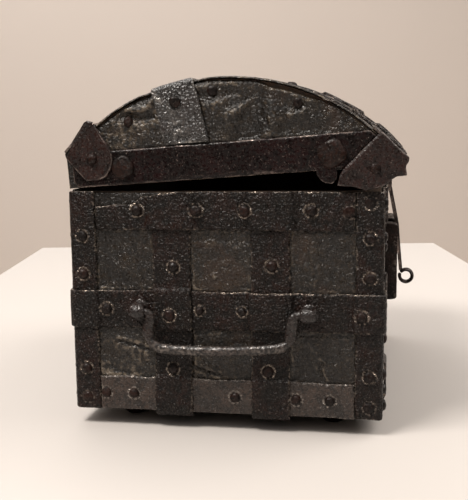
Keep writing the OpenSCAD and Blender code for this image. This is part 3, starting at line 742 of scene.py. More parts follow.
def forged_iron(name, dark, red, pale, worn_gain=1.0, rough=0.26, depth=1.0, ior=1.36, even=0.0):
    """Old forged iron: brown-black skin, reddish patches, pale specks that are partly pale scale and partly
    painted glints, and bright worn edges.

    The three tones are as seen on a screen. even says how little the pebbles break up the wear.
    """
    material, tree, shader, where = new_material(name)
    patches = grain(tree, where, 60, 5, 0.6, 0.6)
    mottle = grain(tree, where, 240, 5, 0.65, 0.3)
    pebbles = grain(tree, where, 850, 3, 0.6)
    glint_specks = grain(tree, where, 1500, 3, 0.7)
    dark, red, pale = colour(*dark), colour(*red), colour(*pale)
    base = coat(tree, dark, red, patches, 0.42, 0.62)
    deep = tuple(0.3 * c for c in dark[:3]) + (1.0,)
    base = coat(tree, base, deep, mottle, 0.38, 0.54, 0.85, 0.0)
    base = coat(tree, base, deep, pebbles, 0.36, 0.5, 0.8, 0.0)
    # Pale specks over the skin: partly pale scale, partly painted glints.
    base = coat(tree, base, pale, glint_specks, 0.6, 0.72, 0.0, 0.4)
    # Pale worn iron from the wear channel, which in places holds painted highlights.
    worn = arithmetic(tree, "MULTIPLY", wear_of(tree), worn_gain)
    uneven = ramp(tree, pebbles, 0.35, 0.62, 0.3 + 0.6 * even, 1.3 - 0.3 * even)
    worn = arithmetic(tree, "MULTIPLY", worn, uneven)
    worn = ramp(tree, worn, 0.3, 1.0)
    base = blend_colours(tree, worn, base, pale)
    gloss = ramp(tree, pebbles, 0.38, 0.6, rough + 0.3, rough - 0.06)
    gloss = arithmetic(tree, "SUBTRACT", gloss, arithmetic(tree, "MULTIPLY", worn, 0.1))
    skin = pebbled(tree, where, 900, mottle, glint_specks, depth)
    feed(tree, shader, {
        "Base Color": base, "Roughness": gloss, "Metallic": worn, "IOR": ior, "Normal": skin})
    return material


def old_leather():
    """Thick old hide, hard and blackened: pebbled, cracked, with rusty stains and a dull shine."""
    material, tree, shader, where = new_material("old_leather")
    stains = grain(tree, where, 45, 4, 0.6, 0.8)
    mottle = grain(tree, where, 200, 6, 0.7, 0.5)
    pebbles = grain(tree, where, 560, 3, 0.65)
    fine = grain(tree, where, 1400, 4, 0.7)
    cells = add_node(tree, "ShaderNodeTexVoronoi", {"Vector": where, "Scale": 300.0, "Randomness": 1.0},
                     feature="DISTANCE_TO_EDGE").outputs["Distance"]
    crack = ramp(tree, cells, 0.0, 0.1, 1.0, 0.0)
    crack = arithmetic(tree, "MULTIPLY", crack, ramp(tree, mottle, 0.42, 0.58))
    base = coat(tree, colour(11, 7, 5), colour(39, 30, 20), mottle, 0.38, 0.62)
    base = coat(tree, base, colour(14, 12, 10), pebbles, 0.38, 0.52, 0.75, 0.0)
    base = coat(tree, base, colour(13, 9, 7), stains, 0.36, 0.52, 0.75, 0.0)
    base = coat(tree, base, colour(50, 34, 23), stains, 0.54, 0.68, 0.0, 0.5)
    base = coat(tree, base, colour(92, 80, 67), fine, 0.56, 0.7, 0.0, 0.45)
    base = blend_colours(tree, arithmetic(tree, "MULTIPLY", crack, 0.6), base, colour(12, 9, 8))
    # Paler hide from the wear channel, which in places holds painted light.
    worn = arithmetic(tree, "MULTIPLY", wear_of(tree), ramp(tree, pebbles, 0.35, 0.62, 0.4, 1.3))
    base = coat(tree, base, colour(112, 101, 88), worn, 0.3, 1.0, 0.0, 0.85)
    cracks = bumped(tree, crack, 0.6, -0.0005)
    skin = add_node(
        tree, "ShaderNodeMix", {0: 0.5, 4: pebbled(tree, where, 800, mottle, fine, 1.6), 5: cracks},
        data_type="VECTOR")
    gloss = ramp(tree, pebbles, 0.38, 0.58, 0.52, 0.2)
    feed(tree, shader, {"Base Color": base, "Roughness": gloss, "IOR": 1.46, "Normal": skin.outputs[1]})
    return material


def old_wood():
    """Dark dry oak with its grain along X and worn tool marks."""
    material, tree, shader, where = new_material("old_oak")
    along = add_node(tree, "ShaderNodeMapping", {"Vector": where, "Scale": (0.06, 1.0, 1.0)})
    figure = grain(tree, along.outputs["Vector"], 260, 6, 0.6, 1.2)
    pores = grain(tree, along.outputs["Vector"], 1500, 3, 0.7)
    stain = grain(tree, where, 30, 3, 0.5)
    base = coat(tree, colour(46, 32, 23), colour(78, 57, 40), figure, 0.35, 0.65)
    base = coat(tree, base, colour(24, 16, 11), pores, 0.38, 0.48, 0.7, 0.0)
    base = coat(tree, base, colour(34, 25, 19), stain, 0.5, 0.65, 0.0, 0.5)
    gloss = ramp(tree, figure, 0.3, 0.7, 0.62, 0.82)
    normal = bumped(tree, figure, 0.6, 0.0004, bumped(tree, pores, 0.5, 0.0002))
    feed(tree, shader, {"Base Color": base, "Roughness": gloss, "Normal": normal})
    return material


def filed_steel():
    """The lock's inner works: grey steel with file marks and a little rust."""
    material, tree, shader, where = new_material("filed_steel")
    across = add_node(tree, "ShaderNodeMapping", {"Vector": where, "Scale": (0.05, 1.0, 1.0)})
    marks = grain(tree, across.outputs["Vector"], 2600, 2, 0.6)
    rust = grain(tree, where, 300, 5, 0.65)
    base = coat(tree, colour(112, 110, 108), colour(150, 148, 146), marks, 0.35, 0.65)
    base = coat(tree, base, colour(92, 60, 42), rust, 0.5, 0.66, 0.0, 0.8)
    feed(tree, shader, {
        "Base Color": base, "Roughness": ramp(tree, rust, 0.45, 0.65, 0.34, 0.7), "Metallic": 0.8,
        "Normal": bumped(tree, marks, 0.4, 0.0001)})
    return material


def stage_paint(name, tone, rough):
    """Plain matt paint with a very faint unevenness."""
    material, tree, shader, where = new_material(name)
    cloud = grain(tree, where, 6, 2, 0.5)
    darker = tuple(0.985 * c for c in tone[:3]) + (1.0,)
    feed(tree, shader, {"Base Color": blend_colours(tree, cloud, tone, darker), "Roughness": rough})
    return material


IRON_MAT = forged_iron("forged_iron", (15, 7, 4), (29, 13, 8), (138, 127, 117), ior=1.33)
SMOOTH_MAT = forged_iron(
    "smooth_iron", (19, 9, 8), (27, 12, 12), (160, 144, 136), rough=0.27, depth=0.3, ior=1.3, even=0.8)
RIVET_MAT = forged_iron(
    "worn_iron", (22, 13, 10), (36, 20, 15), (138, 128, 121), worn_gain=0.9, rough=0.36, depth=0.2, ior=1.3)
# Lighter, greyer iron for the base straps: a painted reflection of the pale table below them.
TABLE_REFLECTION_MAT = forged_iron(
    "iron_with_painted_table_reflection", (48, 39, 34), (58, 45, 38), (146, 138, 131), rough=0.3, depth=0.7, ior=1.5)
POLISHED_MAT = forged_iron(
    "polished_iron", (24, 20, 19), (32, 24, 22), (150, 146, 142), rough=0.2, depth=0.9, ior=1.7, even=0.5)
BROWN_MAT = forged_iron(
    "brown_iron", (33, 21, 18), (42, 25, 22), (160, 146, 138), rough=0.3, depth=0.3, ior=1.4, even=0.8)
HANDLE_MAT = forged_iron(
    "handled_iron", (24, 15, 12), (33, 21, 17), (160, 150, 142), worn_gain=0.8, rough=0.24, depth=0.35,
    ior=1.5, even=0.4)
LEATHER_MAT = old_leather()
WOOD_MAT = old_wood()
STEEL_MAT = filed_steel()
SLOTS = {LEATHER_MAT: "leather", RIVET_MAT: "worn_iron", HANDLE_MAT: "worn_iron"}


# ---------------------------------------------------------------- the box: leather and irons


class Wall:
    """Places along the box's outline, from the middle of the back by way of the left end.

    Each method gives the length along the outline of a place on one side.
    """

    def __init__(self, half_l, half_w, radius=0.8):
        self.l, self.w = half_l, half_w
        self.cut = (2 - math.pi / 2) * radius
        self.track = round_box(half_l, half_w)
        self.surface = standing(self.track)

    def left(self, y):
        return self.l + self.w - y - self.cut

    def front(self, x):
        return self.l + 2 * self.w + x + self.l - 2 * self.cut

    def right(self, y):
        return 3 * self.l + 2 * self.w + y + self.w - 3 * self.cut

    def back(self, x):
        return -x if x <= 0 else self.track.length - x


WALL = Wall(HALF_L, HALF_W)
WOOD_WALL = Wall(HALF_L - HIDE, HALF_W - HIDE)


def box_xyz(p):
    """Coordinates about the middle of the box."""
    return p[..., 0], p[..., 1] - MID_Y, p[..., 2]


def on_ends(x, y):
    """1 on the two end walls, 0 on the long ones."""
    return (np.abs(x) > HALF_L - 1.3) & (np.abs(y) < HALF_W - 0.2)


def across(v, middle, ramp_w, gap=0.0):
    """1 across a strap's width about its middle line, falling to 0 outside the gap."""
    return between(v, middle - HALF_S - gap, middle + HALF_S + gap, ramp_w)


def over_strap(v, middle):
    """1 where an iron rides over a strap, from its middle line."""
    return across(v, middle, 1.5, 0.2)


def over_base(z):
    """1 where an iron rides over the base straps, below their upper edge."""
    return 1 - smooth(z, FOOT + BASE_W + 0.2, FOOT + BASE_W + 1.7)


def under_irons(p):
    """How strongly a strap presses on the leather: 1 under a strap, 0 in the open panels."""
    x, y, z = box_xyz(p)
    end = on_ends(x, y)
    ramp_w = 1.6
    bands = np.maximum.reduce([
        smooth(z, TOP - RIM_W - ramp_w, TOP - RIM_W),
        1 - smooth(z, FOOT + BASE_W, FOOT + BASE_W + ramp_w),
        across(z, WAIST_Z, ramp_w)])
    ends = np.maximum.reduce([
        across(y, LONG_FRONT_Y, ramp_w), across(y, LONG_BACK_Y, ramp_w),
        smooth(np.abs(y), HALF_W - CORNER_W, HALF_W - CORNER_W + ramp_w)])
    sides = np.maximum.reduce([
        across(np.abs(x), CROSS_X, ramp_w),
        smooth(np.abs(x), HALF_L - CORNER_W, HALF_L - CORNER_W + ramp_w),
        between(x, PLATE_LO[0], PLATE_HI[0], ramp_w) * (y < 0)])
    return np.maximum(bands, np.where(end, ends, sides))


# Marks in the hide of the box's ends: route in Y and height from the rim, width, height
END_MARKS = [
    ([(46.0, -62.8), (41.0, -63.8), (36.9, -65.0), (32.5, -66.2), (29.5, -67.8)], 0.55, -0.8),
    ([(45.0, -61.4), (39.0, -62.6), (33.0, -64.6)], 1.2, 0.4),
    ([(50.0, -68.5), (42.0, -69.5)], 3.5, -0.35),
    ([(13.6, -72.8), (9.6, -74.2), (5.6, -75.2), (2.2, -76.4)], 0.5, -0.8),
    ([(12.0, -71.6), (6.5, -73.6), (2.0, -74.8)], 1.1, 0.4),
    ([(-31.0, -63.0), (-33.0, -66.0)], 2.6, -0.6),
    ([(-35.5, -62.0), (-38.0, -66.0)], 2.0, 0.45),
    ([(-39.2, -67.8), (-41.2, -69.4), (-40.9, -73.4), (-42.3, -76.8)], 0.6, 0.6),
    ([(-40.0, -69.4), (-39.7, -73.6), (-41.0, -77.0)], 0.6, -0.8),
    ([(3.5, -34.8), (3.5, -35.2)], 1.0, 0.8),
    ([(36.0, -46.0), (31.0, -44.0)], 2.0, 0.35),
    ([(-34.0, -30.0), (-38.5, -33.0), (-37.0, -38.0)], 1.5, 0.4),
]


def stroke(y, z, route, width):
    """How close points are to a drawn line: 1 on it, fading out over width."""
    best = np.full(np.shape(y), 1e9)
    for (ay, az), (by, bz) in zip(route[:-1], route[1:]):
        dy, dz = by - ay, bz - az
        f = np.clip(((y - ay) * dy + (z - az) * dz) / (dy * dy + dz * dz), 0, 1)
        best = np.minimum(best, (y - ay - f * dy) ** 2 + (z - az - f * dz) ** 2)
    return np.exp(-best / width**2)


def marked(y, z, marks):
    """Sum of drawn marks, each with its route, width and height."""
    total = 0
    for route, width, height in marks:
        total = total + height * stroke(y, z, route, width)
    return total


def body_leather_relief(p):
    """Bulges, creases and cracks in the panels; the hide is pressed flat under the straps."""
    pressed = under_irons(p)
    swell = 0.35 * layered(p, 24, 2, 3) + 0.22 * layered(p, 7, 3, 8)
    crease = -0.4 * np.exp(-(noise(p + 3 * noise(p, 9, 21)[..., None], 17, 40) / 0.05) ** 2)
    grainy = 0.12 * layered(p, 2.2, 2, 12)
    shape = swell + crease + grainy - 0.05
    x, y, z = box_xyz(p)
    shape = shape + np.where(on_ends(x, y), marked(y, z - TOP, END_MARKS), 0)
    return -0.14 * pressed + (1 - pressed) * np.clip(shape, -0.6, 1.6)


def paler_near_irons(p):
    """Paler hide where it meets the irons, and on the left end's lower back panel."""
    pressed = under_irons(p)
    lines = 2.3 * pressed * (1 - pressed) * np.clip(0.4 + layered(p, 9, 2, 15), 0, 1)
    x, y, z = box_xyz(p)
    corner = smooth(-x, HALF_L - 2, HALF_L - 1) * smooth(y, 26, 34) * (1 - smooth(z - TOP, -64, -58))
    return lines + corner * np.clip(0.16 + 0.25 * layered(p, 6, 3, 16), 0, 0.4)


def stations(*runs):
    """Places along a plate: runs are (start, stop, pitch)."""
    return np.concatenate([np.arange(a, b, pitch) for a, b, pitch in runs])


def body_hide_top(s):
    """The hide's upper edge stands a little proud of the rim along the hinge side."""
    y = WOOD_WALL.track(s)[0][..., 1]
    return TOP - 0.4 + 1.25 * smooth(y, HALF_W - 3, HALF_W - 1)


def body_leather():
    """The covering of the four walls: one hide, wrapped round from the middle of the back."""
    part = Part()
    start, stop, length = WOOD_WALL.left(HALF_W), WOOD_WALL.left(-HALF_W), WOOD_WALL.track.length
    part.add(plate(
        WOOD_WALL.surface, 0, length, FOOT, body_hide_top, HIDE, relief=body_leather_relief, ragged=0.0,
        more_wear=paler_near_irons, t_pitch=0.64,
        mids=stations((1, start, 1.5), (start, stop, 0.58), (stop, length - 1, 1.5))))
    part.build("body_leather_hide", LEATHER_MAT, "box", "body_leather")


def hammered(depth, size, seed):
    """Relief of a hammered and rusted iron face, always at or under its nominal height."""

    def relief(p):
        blows = layered(p, size, 2, seed)
        pits = np.clip(noise(p, 1.5, seed + 3) - 0.35, 0, 1)
        rust = 0.5 + 0.5 * layered(p, 2.4, 2, seed + 7)
        return -depth * (0.5 - 0.5 * blows) - 0.7 * depth * pits - 0.3 * depth * rust

    return relief


def corner_irons():
    """Four upright irons, each bent round one corner of the box."""
    half_cut = WALL.cut / 2
    reach = CORNER_W - IRON
    corners = [
        ("back_left", 1, -1, WALL.left(HALF_W) - half_cut),
        ("front_left", -1, -1, WALL.left(-HALF_W) + half_cut),
        ("front_right", -1, 1, WALL.right(-HALF_W) + half_cut),
        ("back_right", 1, 1, WALL.right(HALF_W) + half_cut)]
    for name, side_y, side_x, mid in corners:
        part = Part().add(plate(
            WALL.surface, mid - reach, mid + reach, FOOT, TOP, IRON, pitch=0.65,
            relief=hammered(0.25, 6, 11 + 3 * side_x + side_y), seed=side_x * 3 + side_y + 20,
            ragged=0.3, more_wear=rivet_highlight_rings))
        part.build(f"corner_iron_{name}_skin", IRON_MAT, "box", f"corner_iron_{name}")


def rim_lift_end(p):
    """The rim straps of the ends lie over the two long straps."""
    y = p[..., 1] - MID_Y
    return IRON * np.maximum(across(y, LONG_FRONT_Y, 3.5), across(y, LONG_BACK_Y, 3.5))


def cross_lift(p):
    """The front rim strap lies over the two cross straps."""
    return IRON * over_strap(np.abs(p[..., 0]), CROSS_X)


def rivet_highlight_rings(p):
    """Pale rings round the rivets of the two ends: painted highlights on the rims round their heads, given
    as pale worn iron.
    """
    x, y, z = box_xyz(p)
    ring = 0
    for ry, rz, _, r, h in end_rivet_places():
        off = np.hypot(y - ry, z - rz) - r
        ring = ring + (0.62 if h > 1 else 0.4) * np.exp(-((off - 0.5) / 0.42) ** 2)
    return np.where(on_ends(x, y), ring, 0)


def torn_rim(s):
    """Upper edge of the left end's rim strap, worn away toward the back."""
    y = WALL.track(s)[0][..., 1]
    steps = 0.8 * smooth(y, 19, 24) + 1.0 * smooth(y, 25, 31) + 3.4 * smooth(y, 32.5, 38.5)
    return TOP - steps - 0.8 * smooth(y, 44, 52)


def straps_round(name, z0, z1, lifts, tops, seed, material):
    """Four straps between the corner irons at one height.

    lifts and tops may give a side its own lift and its own upper edge.
    """
    end_y = HALF_W + IRON - CORNER_W - 0.1
    end_x = HALF_L + IRON - CORNER_W - 0.1
    spans = {
        "left": (WALL.left(end_y), WALL.left(-end_y)), "front": (WALL.front(-end_x), WALL.front(end_x)),
        "right": (WALL.right(-end_y), WALL.right(end_y)),
        "back": (WALL.back(end_x), WALL.track.length + WALL.back(-end_x))}
    for k, (side, (s0, s1)) in enumerate(spans.items()):
        part = Part().add(plate(
            WALL.surface, s0, s1, z0, tops.get(side, z1), IRON, pitch=0.6 if side == "left" else 0.9,
            lift=lifts.get(side), relief=hammered(0.3, 7, seed + k), seed=seed + k,
            ragged=0.28, more_wear=rivet_highlight_rings))
        part.build(f"{name}_{side}_iron", material, "box", f"{name}_strap_{side}")


def waist_lift(p):
    """The waist band lies over the corner irons, the cross straps and the front long strap.

    Right of the lock it stands out all along.
    """
    x, y, _ = box_xyz(p)
    in_y, in_x = HALF_W + IRON - CORNER_W, HALF_L + IRON - CORNER_W
    end = on_ends(x, y)
    ends = np.maximum(smooth(np.abs(y), in_y - 1.5, in_y), over_strap(y, LONG_FRONT_Y))
    sides = np.maximum.reduce([
        smooth(np.abs(x), in_x - 1.5, in_x),
        over_strap(np.abs(x), CROSS_X),
        np.where((y < 0) & (x > PLATE_HI[0]), 1.0, 0.0)])
    return IRON * np.where(end, ends, sides)


def strap(surface, s0, s1, middle, blows, seed, **more):
    """A strap on a surface, about a middle line; blows are its depth, width and seed."""
    return plate(surface, s0, s1, middle - HALF_S, middle + HALF_S, IRON, relief=hammered(*blows),
                 seed=seed, ragged=0.3, **more)


def waist_band():
    """One band round the box, from the lock plate's right edge to its left one."""
    start = WALL.front(PLATE_HI[0] + 0.2)
    stop = WALL.front(PLATE_LO[0] - 0.2) + WALL.track.length
    left = WALL.left(HALF_W) + WALL.track.length, WALL.left(-HALF_W) + WALL.track.length
    part = Part().add(strap(
        WALL.surface, start, stop, WAIST_Z, (0.24, 6, 51), 52, lift=waist_lift, t_pitch=0.65,
        more_wear=rivet_highlight_rings,
        mids=stations((start + 0.9, left[0], 0.9), (left[0], left[1], 0.6), (left[1], stop - 0.9, 0.9))))
    part.build("waist_band_iron", IRON_MAT, "box", "waist_band")


def long_lift(over_waist):
    """Long straps lie over the base straps, and the back one over the waist band too."""

    def lift(p):
        x, _, z = box_xyz(p)
        near_end = smooth(np.abs(x), HALF_L - 4, HALF_L - 1)
        up = near_end * over_base(z)
        if over_waist:
            up = np.maximum(up, over_strap(z, WAIST_Z))
        return IRON * up

    return lift


def long_straps():
    """Two straps up both ends and under the bottom."""
    track = Track([(-HALF_L, TOP - 1), (-HALF_L, FOOT), (HALF_L, FOOT), (HALF_L, TOP - 1)], 1.2)
    surface = crossways(track)
    up = TOP - 1 - FOOT
    for name, mid, over_waist in (("front", LONG_FRONT_Y, False), ("back", LONG_BACK_Y, True)):
        part = Part().add(strap(
            surface, 0, track.length, mid, (0.24, 6, 61 + len(name)), 60 + len(name) * 2,
            lift=long_lift(over_waist), t_pitch=0.6, more_wear=rivet_highlight_rings,
            mids=stations((0.6, up + 4, 0.55), (up + 4, track.length - up, 2.5),
                          (track.length - up, track.length - 0.6, 0.9))))
        part.build(f"long_strap_{name}_iron", IRON_MAT, "box", f"long_strap_{name}")


def cross_strap_lift(p):
    """Cross straps lie over the base straps, and behind over the rim strap."""
    _, y, z = box_xyz(p)
    behind = np.where(y > 0, smooth(z, TOP - RIM_W - 1.6, TOP - RIM_W - 0.2), 0)
    return IRON * np.maximum(over_base(z), behind)


def cross_straps():
    """Two straps up the front, under the bottom and up the back, each ending in a hinge knuckle."""
    half_w = KNUCKLE_W / 2
    track = Track([(-HALF_W, TOP - 1), (-HALF_W, FOOT), (HALF_W, FOOT), (HALF_W, HINGE[1] - 3.2)], 1.2)
    tongue = Track([(HALF_W, HINGE[1] - 4.5), (HALF_W, HINGE[1])], 1.2)
    up = TOP - 1 - FOOT
    for name, side in ENDS:
        mid = side * CROSS_X
        part = Part().add(strap(
            lengthways(track), 0, track.length, mid, (0.24, 6, 70 + side), 75 + side,
            lift=cross_strap_lift, t_pitch=0.8,
            mids=stations((0.8, up + 4, 0.8), (up + 4, track.length - up, 2.5),
                          (track.length - up, track.length - 0.8, 0.8))))
        part.add(plate(
            lengthways(tongue), 0, tongue.length, mid - half_w, mid + half_w, IRON,
            lift=raised(IRON), pitch=0.7, ragged=0.05, seed=80 + side))
        part.add(knuckle_tube(mid - half_w, mid + half_w, side + 90))
        part.build(f"cross_strap_{name}_iron", IRON_MAT, "box", f"cross_strap_{name}")


def knuckle_tube(x0, x1, seed):
    """A rolled hinge knuckle about the hinge pin, drawn solid."""
    return rod(x0, x1, HINGE[0] + MID_Y, HINGE[1], capped(KNUCKLE_R, 10, 1), 20, 0.03, seed)


# ---------------------------------------------------------------- rivets, feet


CORNER_Y = HALF_W + IRON - CORNER_W / 2
CORNER_X = HALF_L + IRON - CORNER_W / 2
RIM_Z = TOP - RIM_W / 2
BASE_Z = FOOT + BASE_W / 2


def end_rivet_places():
    """(y, z, level, radius, height) of the rivets of one end; level counts the irons under it."""
    high = [(35.4, 1), (10.6, 2), (-9.4, 2), (-36.0, 1)]
    out = [(y, RIM_Z + 0.2, level, 2.3, 1.1) for y, level in high]
    out += [(-50.9, RIM_Z, 1, 2.3, 0.3), (-CORNER_Y, TOP - 4.4, 1, 2.3, 0.3)]
    for s in (-1, 1):
        out += [(s * CORNER_Y, TOP - drop, 1, 2.2, 1.1) for drop in (18.4, 34.4, 74.8)]
        out.append((s * CORNER_Y, TOP - 87.5, 1, 2.2, 0.5))
    out += [(49.6, WAIST_Z, 1, 2.3, 1.1), (-56.1, WAIST_Z - 1, 2, 2.3, 1.1)]
    out += [(9.8, WAIST_Z, 1, 1.8, 1.1), (-7.8, WAIST_Z, 1, 1.8, 1.1)]
    out += [(20.6, TOP - 31, 1, 2.2, 1.1), (22.5, WAIST_Z - 2, 2, 2.4, 1.1)]
    out += [(21.6, TOP - 73.9, 1, 2.3, 1.1)]
    out += [(-20.2, TOP - 30, 1, 2.3, 1.1), (-18.4, TOP - 73.9, 1, 2.3, 1.1)]
    out += [(y, BASE_Z, 1, 2.1, 1.1) for y in (51, 38.8, -4.5, -29.8, -43.6)]
    return out


def end_rivets():
    """The rivets of the two ends."""
    for name, side in ENDS:
        part = Part()
        for k, (y, z, level, r, h) in enumerate(end_rivet_places()):
            at = (side * (HALF_L + level * IRON - 0.2), y + MID_Y, z)
            part.add(rivet(at, (side, 0, 0), r, 1.4 * h + 0.2, 100 + 3 * k + side, k % 3))
        part.build(f"{name}_end_rivet_heads", RIVET_MAT, "box", f"{name}_end_rivets")


def long_rivets():
    """The rivets of the front and the back; the band stands one iron further out right of the lock."""
    for name, side in (("front", -1), ("back", 1)):
        spots = []
        for s in (-1, 1):
            spots += [(s * CORNER_X, z, 1) for z in
                      (TOP - 4.6, TOP - 18.4, TOP - 34.4, TOP - 74.8, TOP - 87.5)]
            spots += [(s * CROSS_X, TOP - 27, 1), (s * CROSS_X, TOP - 68, 1)]
            spots += [(s * 70, WAIST_Z, 2 if side < 0 < s else 1)]
            spots += [(s * x, BASE_Z, 1) for x in (20, 70)]
            spots += [(s * 70, RIM_Z, 1), (s * 28, RIM_Z, 1)]
        spots += [(x, WAIST_Z, 1) for x in ((-30, 0, 30) if side > 0 else (-30,))]
        part = Part()
        for k, (x, z, level) in enumerate(spots):
            at = (x, side * (HALF_W + level * IRON - 0.2) + MID_Y, z)
            part.add(rivet(at, (0, side, 0), 2.25, 1.5, 300 + 3 * k + side, k % 3))
        part.build(f"{name}_rivet_heads", RIVET_MAT, "box", f"{name}_rivets")


def feet():
    """Four turned stud feet."""
    part = Part()
    profile = [(4.0, 0.0), (4.7, 0.6), (5.9, 2.0), (6.4, 3.2), (6.1, 4.4), (5.2, 5.6), (4.9, 7.0)]
    for k, (sx, sy) in enumerate(((-1, -1), (-1, 1), (1, -1), (1, 1))):
        shell = lump(np.array([sx * 70.0, sy * 44.0 + MID_Y, 0]), (0, 0, 1), profile, 28, 0.05, 0, 400 + k)
        part.add(shell)
    part.build("stud_feet", RIVET_MAT, "box", "feet")


# ---------------------------------------------------------------- handles


# The axis of a drop handle in X and Z, and how far its eyes are from the middle
BAIL_X = HALF_L + 2 * IRON + 2.6
BAIL_Z = WAIST_Z
EYE_Y = 35.2


def handle_eyes():
    """Two loops at each end, each driven through a small round plate."""
    for name, side in ENDS:
        part = Part()
        for k, s in enumerate((-1, 1)):
            y = s * EYE_Y + MID_Y
            ring = []
            turns = np.linspace(-0.62 * math.pi, 0.62 * math.pi, 26)
            for a in turns:
                ring.append((side * (BAIL_X + 2.2 * math.cos(a)), y, BAIL_Z + 2.2 * math.sin(a)))
            tail = HALF_L + IRON - 0.3
            start = [(side * tail, y, BAIL_Z - 1.15)]
            stop = [(side * tail, y, BAIL_Z + 1.15)]
            route = curve_through(start + ring + stop, 44)
            shell = bar(route, capped(1.0, 44, 1), 14, 0.12, 420 + k + 3 * side, 2.5)
            part.add(stretched(shell, 1, 3.3, y))
            part.add(lump(np.array([side * tail, y, BAIL_Z]), (side, 0, 0),
                          [(4.0, 0), (4.0, 0.4), (3.4, 0.9), (2.4, 1.15)], 20, 0.12, 0, 430 + k))
        part.build(f"{name}_handle_eye_loops", HANDLE_MAT, "box", f"{name}_handle_eyes")


def handle_route():
    """The bent bar of the photographed end: one arm bulges, the bar sags a little."""
    return [
        (0, 38.4, 0), (0, 34.6, 0.1), (0, 31.4, -0.2), (0.1, 30.0, -2.4), (0.3, 30.9, -7.0),
        (0.3, 30.4, -11.2), (0.2, 27.4, -14.5), (0, 22, -15.7), (0, 10, -15.9), (0, -4, -15.6),
        (0, -16, -14.8), (0, -24.0, -13.6), (-0.1, -27.4, -11.4), (-0.1, -28.3, -7.4),
        (0, -28.7, -3.0), (0, -30.2, -0.3), (0, -34.4, 0.1), (0, -37.6, 0)]


def handles():
    """Each drop handle: a thick rounded bar between two arms hammered broad and flat."""
    count = 150
    for name, side in ENDS:
        route = curve_through([(x * side, y, z) for x, y, z in handle_route()], count)
        low = np.clip(-route[:, 2] / 14, 0, 1)
        in_bar = smooth(low, 0.78, 0.98)
        radius = capped(1.0, count, 2) * (1.5 + 0.3 * in_bar)
        route = route + np.array([side * BAIL_X, MID_Y, BAIL_Z])
        # Paler iron along the handle, most on the low bar where it is gripped; on the arms it partly stands
        # for a painted highlight.
        shell = bar(route, radius, 20, 0.07, 440 + side, 4.0,
                    wear_and_highlight_at=lambda ring: 0.32 - 0.16 * smooth(ring[..., 2], 34, 42))
        verts = np.asarray(shell[0]).reshape(count, -1, 3).copy()
        broad = 0.62 * between(low, 0.1, 0.74, 0.12)[:, None]
        verts[..., 1] += broad * (verts[..., 1] - route[:, None, 1])
        verts[..., 2] += 0.12 * in_bar[:, None] * (verts[..., 2] - route[:, None, 2])
        Part().add((verts.reshape(-1, 3),) + shell[1:]).build(
            f"{name}_drop_handle", HANDLE_MAT, f"{name}_bail", f"{name}_handle")


# ---------------------------------------------------------------- lock


def rect(x0, x1, z0, z1):
    """Outline of a rectangle."""
    return [(x0, z0), (x1, z0), (x1, z1), (x0, z1)]


def on_front(face_y):
    """Puts flat X and Z points on a plane that faces -Y."""

    def place_at(flat, height):
        return xyz(flat[:, 0], face_y - height, flat[:, 1])

    return place_at


def prism(outline, lows, highs, place_at):
    """A closed tool: an outline carried from one depth to another."""
    rings = np.array([[place_at(a, b, depth) for a, b in outline] for depth in (lows, highs)])
    quads, ngons = loft(rings)
    return rings.reshape(-1, 3), quads, ngons, np.zeros(rings.shape[0] * rings.shape[1])


def box_tool(lo, hi):
    """A block to cut with, between two corners."""
    return prism(rect(lo[0], hi[0], lo[1], hi[1]), lo[2], hi[2], lambda x, y, z: (x, y, z))


def cut_away(shell, tool):
    """The shell with a closed tool taken away from it."""
    obj = make_object("whole", *shell[:3], wear=shell[3])
    cutter = make_object("cutter", *tool[:3], wear=tool[3])
    cut = obj.modifiers.new("cut", "BOOLEAN")
    cut.object = cutter
    cut.solver = "EXACT"
    bpy.context.view_layer.update()
    mesh = bpy.data.meshes.new_from_object(obj.evaluated_get(bpy.context.evaluated_depsgraph_get()))
    verts = np.empty(len(mesh.vertices) * 3)
    mesh.vertices.foreach_get("co", verts)
    wear = np.zeros(len(mesh.vertices), np.float32)
    if "wear" in mesh.attributes:
        mesh.attributes["wear"].data.foreach_get("value", wear)
    faces = [tuple(f.vertices) for f in mesh.polygons]
    for leftover in (obj, cutter):
        bpy.data.objects.remove(leftover)
    quads = np.array([f for f in faces if len(f) == 4])
    return verts.reshape(-1, 3) * 1000, quads, [f for f in faces if len(f) != 4], wear


def lock_plate():
    """The plate that the lock sits on."""
    outline = rect(PLATE_LO[0] + 0.2, PLATE_HI[0] - 0.2, PLATE_LO[2] + 0.2, PLATE_HI[2] - 0.2)
    part = Part().add(sheet_piece(
        outline, on_front(PLATE_HI[1]), IRON, 500, 0.12, 0.5, 26, relief=front_dents(501)))
    part.build("lock_plate_iron", IRON_MAT, "box", "lock_plate")


def lock_case_and_keep():
    """The hollow case with its keyhole, and the keep beyond the hasp, both cut for the bolt."""
    wall = 1.3
    for node, seed in (("lock_case", 510), ("bolt_keep", 520)):
        lo, hi = node_box(node)
        shell = sheet_piece(
            rect(lo[0] + 0.1, hi[0] - 0.1, lo[2] + 0.1, hi[2] - 0.1), on_front(hi[1]), hi[1] - lo[1] - 0.1,
            seed, 0.08, 1.1, 20, relief=front_dents(seed))
        if node == "bolt_keep":
            shell = cut_away(shell, bolt_tool(hi[0] - 3, hi[0] + 1))
        else:
            shell = cut_away(shell, box_tool(lo + wall, (hi[0] - wall, hi[1] + 1, hi[2] - wall)))
            shell = cut_away(shell, bolt_tool(lo[0] - 1, lo[0] + 2))
            shell = cut_away(shell, keyhole_tool(lo[1]))
        Part().add(shell).build(f"{node}_iron", RIVET_MAT, "box", node)


